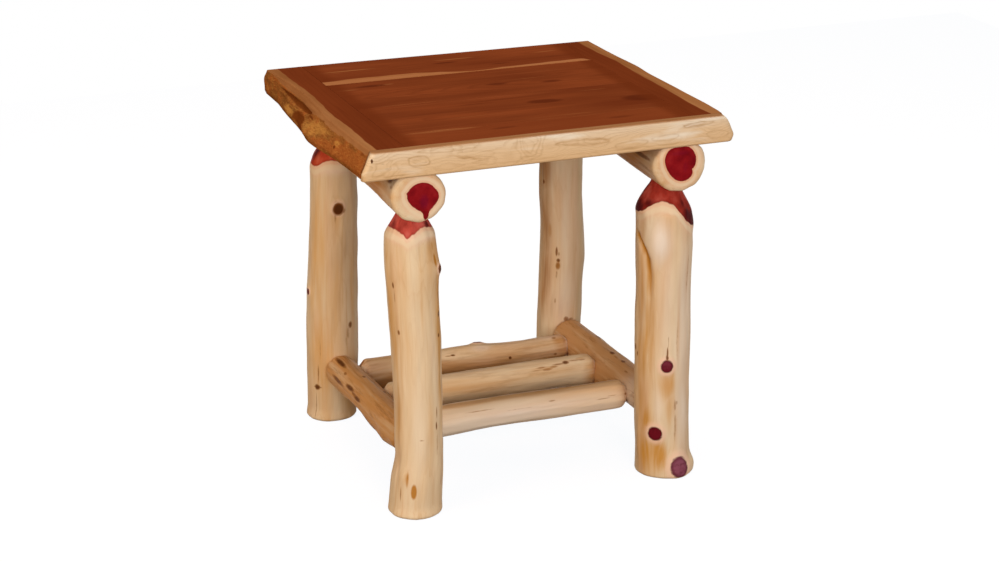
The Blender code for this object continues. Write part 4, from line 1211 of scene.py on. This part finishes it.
def build_strip(name):
    low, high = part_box(name)
    heights = np.linspace(low.z, high.z, FACE_ROWS)
    low.z -= STRIP_DROP
    tree = surface_of(name)
    ends = []
    for side in (-1, 1):
        hits = [side_hit(tree, side, high.y - STRIP_INSIDE, h) for h in inside(heights)]
        ends.append(soften(np.array(hits), STRIP_END_BLUR))
    length = high.x - low.x
    along = graded(0.0, length, (0.0, length), STRIP_STEP, STRIP_END_STEP, STRIP_END_REACH)[:, None]
    turn = np.linspace(0.0, math.pi / 2, STRIP_TURN_STEPS)
    rounded = STRIP_ROUND * (1 - np.cos(turn))
    inward = STRIP_ROUND * (1 - np.sin(turn))
    face = np.arange(low.z + STRIP_ROUND + MM, high.z - STRIP_ROUND, STRIP_STEP_UP)
    behind = [[level] * STRIP_BACK_STEPS for level in (high.z, low.z)]
    z = np.concatenate((low.z + rounded, face, high.z - rounded[::-1], *behind))[None, :]
    deep = high.y - low.y
    back = np.linspace(STRIP_BACK_START, 1.0, STRIP_BACK_STEPS) * deep
    inset = np.concatenate((inward, np.zeros(len(face)), inward[::-1], back, back[::-1]))[None, :]
    left = np.interp(z, heights, ends[0])
    right = np.interp(z, heights, ends[1]) + along_table(STRIP_END, z)
    x = left + (right - left) * (along / length)
    corner = np.minimum(along, length - along)
    size = np.where(along < length / 2, *STRIP_CORNERS)
    lost = size - np.sqrt(np.maximum(size ** 2 - np.clip(size - corner, 0.0, size) ** 2, 0.0))
    y = low.y + np.maximum(inset, np.minimum(inset + lost, deep))
    x, y, z = np.broadcast_arrays(x, y, z)
    bent_x = x + STRIP_BEND[0] * waves(12, x, z, (0.05, 0.02))
    bent_z = z + STRIP_BEND[1] * waves(13, x, z, (0.04, 0.02))
    fields = {
        "grain": np.stack((z, y, x), -1),
        "ring": (z - low.z) * STRIP_RINGS + STRIP_RING_SWAY * waves(14, x, z, (0.20, 0.09)),
        "loop": loop_field(STRIP_LOOPS, bent_x, bent_z),
        "streak": patch_field(STRIP_STREAKS, bent_x, bent_z),
        "flame": patch_field(STRIP_FLAMES, bent_x, bent_z),
        "foot_shade": smooth(low.z + STRIP_FOOT_SHADE[0], low.z + STRIP_FOOT_SHADE[1], z),
        "knot": patch_field(STRIP_KNOTS, x, z),
        "crown": smooth(high.z - STRIP_CROWN[0], high.z - STRIP_CROWN[1], z),
        "rise": (z - low.z) / (high.z - low.z),
    }
    return loft(name + "_board", np.stack((x, y, z), -1), fields)


def heartwood(g, place, ring_pace, wander_size):
    """Red plank colour from long streaks, growth rings and fine fibres, with its streaks and fibres."""
    streak = g.noise(place, 120, 4, 4.0, 0.62)
    fine = g.noise(place, 520, 12)
    colour = g.ramp(g.noise(place, 14, 3, 2.0), (0.30, RED_DARK), (0.48, RED), (0.68, RED_ORANGE))
    colour = g.tint(colour, RED_LIGHT, 0.50, streak, 0.54, 0.78)
    colour = g.tint(colour, RED_DEEP, 0.42, streak, 0.44, 0.24)
    wander = g.times(g.noise(place, 24, 3), wander_size)
    rings = g.lines(g.sum(g.times(g.field("ring"), ring_pace), wander), 0.55, 0.96)
    colour = g.blend(g.times(rings, 0.22), colour, RED_DEEP)
    colour = g.tint(colour, RED_DEEP, 0.22, fine, 0.45, 0.75)
    return colour, streak, fine


def plank_material(name, number):
    g = wood_graph(name)
    place = g.grain(BOARD_STEPS, 80 + number)
    colour, streak, fine = heartwood(g, place, PLANK_RINGS, 3.0)
    colour = g.blend(PLANK_ORANGE[number], colour, RED_ORANGE)
    ragged = g.rough(0.9, place, 220, 14)
    colour = g.tint(colour, TAN, 0.75, g.sum(g.field("pale"), ragged), 0.25, 0.85)
    colour = g.tint(colour, RED_DEEP, 0.70, g.sum(g.field("dark"), ragged), 0.20, 0.95)
    colour = g.tint(colour, BOARD_RED, 0.75, g.sum(g.field("end"), g.times(ragged, 0.6)), 0.10, 0.90)
    sap = g.sum(g.field("sap"), g.rough(0.006, place, 300, 16))
    colour = g.tint(colour, g.ramp(streak, (0.35, TAN), (0.65, TAN_LIGHT)), 0.90, sap, -0.0016, 0.0022)
    height = g.sum(g.times(streak, 0.5), g.times(fine, 0.5))
    return g.finish(colour, g.span(streak, 0.3, 0.7, 0.36, 0.46), height, PLANK_BUMP)


def end_board_material(name, seed):
    g = wood_graph(name)
    place = g.grain(BOARD_STEPS, seed)
    colour, streak, fine = heartwood(g, place, BOARD_RINGS, 2.5)
    colour = g.blend(0.60, colour, BOARD_RED)
    sap = g.sum(g.field("sap"), g.rough(0.0014, place, 90, 14))
    band = g.ramp(g.noise(place, 90, 8), (0.30, BAND_DARK), (0.52, BAND), (0.74, BAND_LIGHT))
    band = g.blend(g.times(g.field("near"), 0.6), band, BAND_LIGHT)
    colour = g.blend(g.span(sap, -0.0008, 0.0012), colour, band)

    # Live edge, blotched and flecked, with painted shade in its slot and along its lower rim
    blotch = g.noise(place, 60, 34, 4.0, 0.6)
    face = g.ramp(blotch, (0.26, EDGE_SHADE), (0.46, EDGE_BROWN), (0.62, EDGE_WARM), (0.82, EDGE_GOLD))
    ragged = g.rough(2.2, place, 190, 42, 6.0, 0.72)
    face = g.tint(face, EDGE_WARM, 0.75, g.sum(g.field("warm"), ragged), 0.2, 0.9)
    face = g.tint(face, EDGE_GOLD, 0.85, g.sum(g.field("gold"), ragged), 0.20, 1.0)
    fleck = g.noise(place, 420, 130, 4.0, 0.65)
    face = g.tint(face, EDGE_GOLD, 0.55, fleck, 0.52, 0.70)
    face = g.tint(face, EDGE_DARK, 0.60, fleck, 0.47, 0.32)
    face = g.tint(face, EDGE_DARK, 0.92, g.sum(g.field("dark"), g.times(ragged, 0.7)), 0.30, 0.85)
    # Dark inside the slot: painted shade in the recess
    face = g.tint(face, EDGE_DARK, 0.85, g.sum(g.field("slot"), g.times(ragged, 0.3)), 0.20, 0.80)
    colour = g.blend(g.field("face"), colour, face)
    height = g.sum(g.times(g.sum(streak, fine), 0.3), g.times(blotch, g.field("face")))
    return g.finish(colour, g.span(streak, 0.3, 0.7, 0.36, 0.48), height, BOARD_BUMP)


def strip_material(name):
    g = wood_graph(name)
    place = g.grain(STRIP_STEPS)
    broad = g.noise(place, 40, 7)
    fine = g.noise(place, 420, 22)
    colour = g.ramp(broad, (0.32, STRIP_CREAM), (0.55, STRIP_CREAM), (0.75, STRIP_PALE))
    colour = g.tint(colour, STRIP_PALE, 0.34, g.field("rise"), 0.50, 0.95)
    colour = g.tint(colour, STRIP_LOW, 0.40, g.field("rise"), 0.55, 0.05)
    wobble = g.times(g.noise(place, 110, 34, 4.0, 0.6), 1.6)
    rings = g.lines(g.sum(g.field("ring"), wobble), 0.35, 0.97)
    colour = g.blend(g.times(rings, g.span(broad, 0.34, 0.62, 0.26, 0.06)), colour, STRIP_LINE)
    colour = g.tint(colour, STRIP_LINE, 0.22, fine, 0.45, 0.8)
    ragged = g.rough(0.8, place, 160, 40)
    colour = g.tint(colour, STRIP_PALE, 0.90, g.sum(g.field("flame"), ragged), 0.25, 0.85)
    colour = g.tint(colour, STRIP_LINE, 0.7, g.sum(g.field("streak"), ragged), 0.2, 0.9)
    colour = g.blend(g.times(g.field("loop"), g.span(fine, 0.3, 0.6, 0.4, 0.85)), colour, STRIP_LINE)
    # Darker along the rounded lower edge: painted shade
    colour = g.blend(g.times(g.field("foot_shade"), 0.35), colour, STRIP_LINE)
    crown = g.ramp(g.noise(place, 90, 10), (0.32, CROWN_DARK), (0.68, CROWN))
    colour = g.blend(g.field("crown"), colour, crown)
    colour = g.tint(colour, BARK_BROWN, 0.95, g.field("knot"), 0.2, 0.8)
    height = g.sum(g.times(fine, 0.6), g.times(rings, -0.4))
    return g.finish(colour, g.span(fine, 0.3, 0.7, 0.36, 0.48), height, STRIP_BUMP)


for board_name, board_look in END_BOARDS.items():
    piece = build_end_board(board_name, board_look)
    add_piece(piece, end_board_material(board_name, board_look["seed"]), "red_heartwood", board_name)
for plank_number in PITHS:
    plank_name = f"top_plank_{plank_number}"
    piece = build_plank(plank_name, plank_number)
    add_piece(piece, plank_material(plank_name, plank_number), "red_heartwood", plank_name)
piece = build_strip("top_front_edge")
add_piece(piece, strip_material("top_front_edge"), "pale_front_edge", "top_front_edge")


def birch_material():
    """Pale dowel wood with fine grain."""
    g = wood_graph("birch_pin")
    place = g.node("ShaderNodeTexCoord", {}).outputs["Object"]
    streak = g.noise(place, 160, 160, 3.0, 0.6, 0.4)
    fine = g.noise(place, 900, 900, 2.0)
    colour = g.ramp(streak, (0.30, BIRCH_DARK), (0.50, BIRCH), (0.72, BIRCH_LIGHT))
    colour = g.tint(colour, BIRCH_DARK, 0.4, fine, 0.5, 0.8)
    return g.finish(colour, g.span(fine, 0.3, 0.7, 0.55, 0.72), g.sum(streak, fine), BIRCH_BUMP)


def zinc_material():
    """Zinc plated steel with faint clouds and fine scratches."""
    g = Graph(bpy.data.materials.new("zinc_plate"))
    place = g.node("ShaderNodeTexCoord", {}).outputs["Object"]
    scratch = g.noise(place, 2600, 400, 2.0)
    colour = g.ramp(g.noise(place, 220, 220), (0.32, ZINC_WARM), (0.52, ZINC), (0.72, ZINC_LIGHT))
    g.shade({"Metallic": 1.0})
    return g.finish(colour, g.span(scratch, 0.3, 0.7, 0.28, 0.46), scratch, ZINC_BUMP, ZINC_SHINE)


def dress_joinery():
    birch = birch_material()
    zinc = zinc_material()
    for name, obj in nodes.items():
        if "dowel" in name or "spline" in name:
            obj.material_slots[0].material = birch
        elif "screw" in name or "nail" in name:
            obj.material_slots[0].material = zinc


def add_camera():
    back = CAMERA_BACK.normalized()
    right = Vector((0, 0, 1)).cross(back).normalized()
    up = back.cross(right)
    data = bpy.data.cameras.new("camera")
    data.sensor_width = SENSOR_WIDTH
    data.lens = FOCAL_PIXELS / PHOTO_WIDTH * SENSOR_WIDTH
    data.clip_end = CAMERA_CLIP
    camera = bpy.data.objects.new("camera", data)
    turn = Matrix((right, up, back)).transposed().to_4x4()
    camera.matrix_world = Matrix.Translation(CAMERA_TARGET + back * CAMERA_DISTANCE) @ turn
    bpy.context.scene.collection.objects.link(camera)
    bpy.context.scene.camera = camera


def add_lamp(name, place, aim, size, power, colour):
    data = bpy.data.lights.new(name, "AREA")
    data.shape = "DISK"
    data.size = size
    data.energy = power
    data.color = colour
    lamp = bpy.data.objects.new(name, data)
    direction = Vector((0.0, 0.0, aim)) - Vector(place)
    lamp.matrix_world = Matrix.Translation(place) @ direction.to_track_quat("-Z", "Y").to_matrix().to_4x4()
    bpy.context.scene.collection.objects.link(lamp)


def add_studio():
    """White world and floor for straight rays, a warm fill and the floor's own colour for all others."""
    world = bpy.data.worlds.new("studio")
    bpy.context.scene.world = world
    g = Graph(world)
    background = g.tree.nodes["Background"]
    straight = g.straight()
    g.put(background.inputs["Color"], g.blend(straight, FILL_COLOUR, WHITE))
    g.put(background.inputs["Strength"], g.span(straight, 0.0, 1.0, FILL_STRENGTH, 1.0))
    for name, lamp in LAMPS.items():
        add_lamp(name, *lamp)

    bpy.ops.mesh.primitive_plane_add(size=FLOOR_SIZE, location=(0.0, 0.0, 0.0))
    floor = bpy.context.object
    floor.name = "floor"
    g = Graph(bpy.data.materials.new("white_floor"))
    g.shade({"Base Color": (*FLOOR_COLOUR, 1.0), "Roughness": FLOOR_ROUGHNESS, "Specular IOR Level": 0.0,
             "Emission Color": (*FLOOR_GLOW, 1.0),
             "Emission Strength": g.span(g.straight(), 0.0, 1.0, 0.0, FLOOR_STRENGTH)})
    floor.data.materials.append(g.owner)


dress_joinery()
add_camera()
add_studio()
bpy.context.scene.view_settings.view_transform = "Standard"
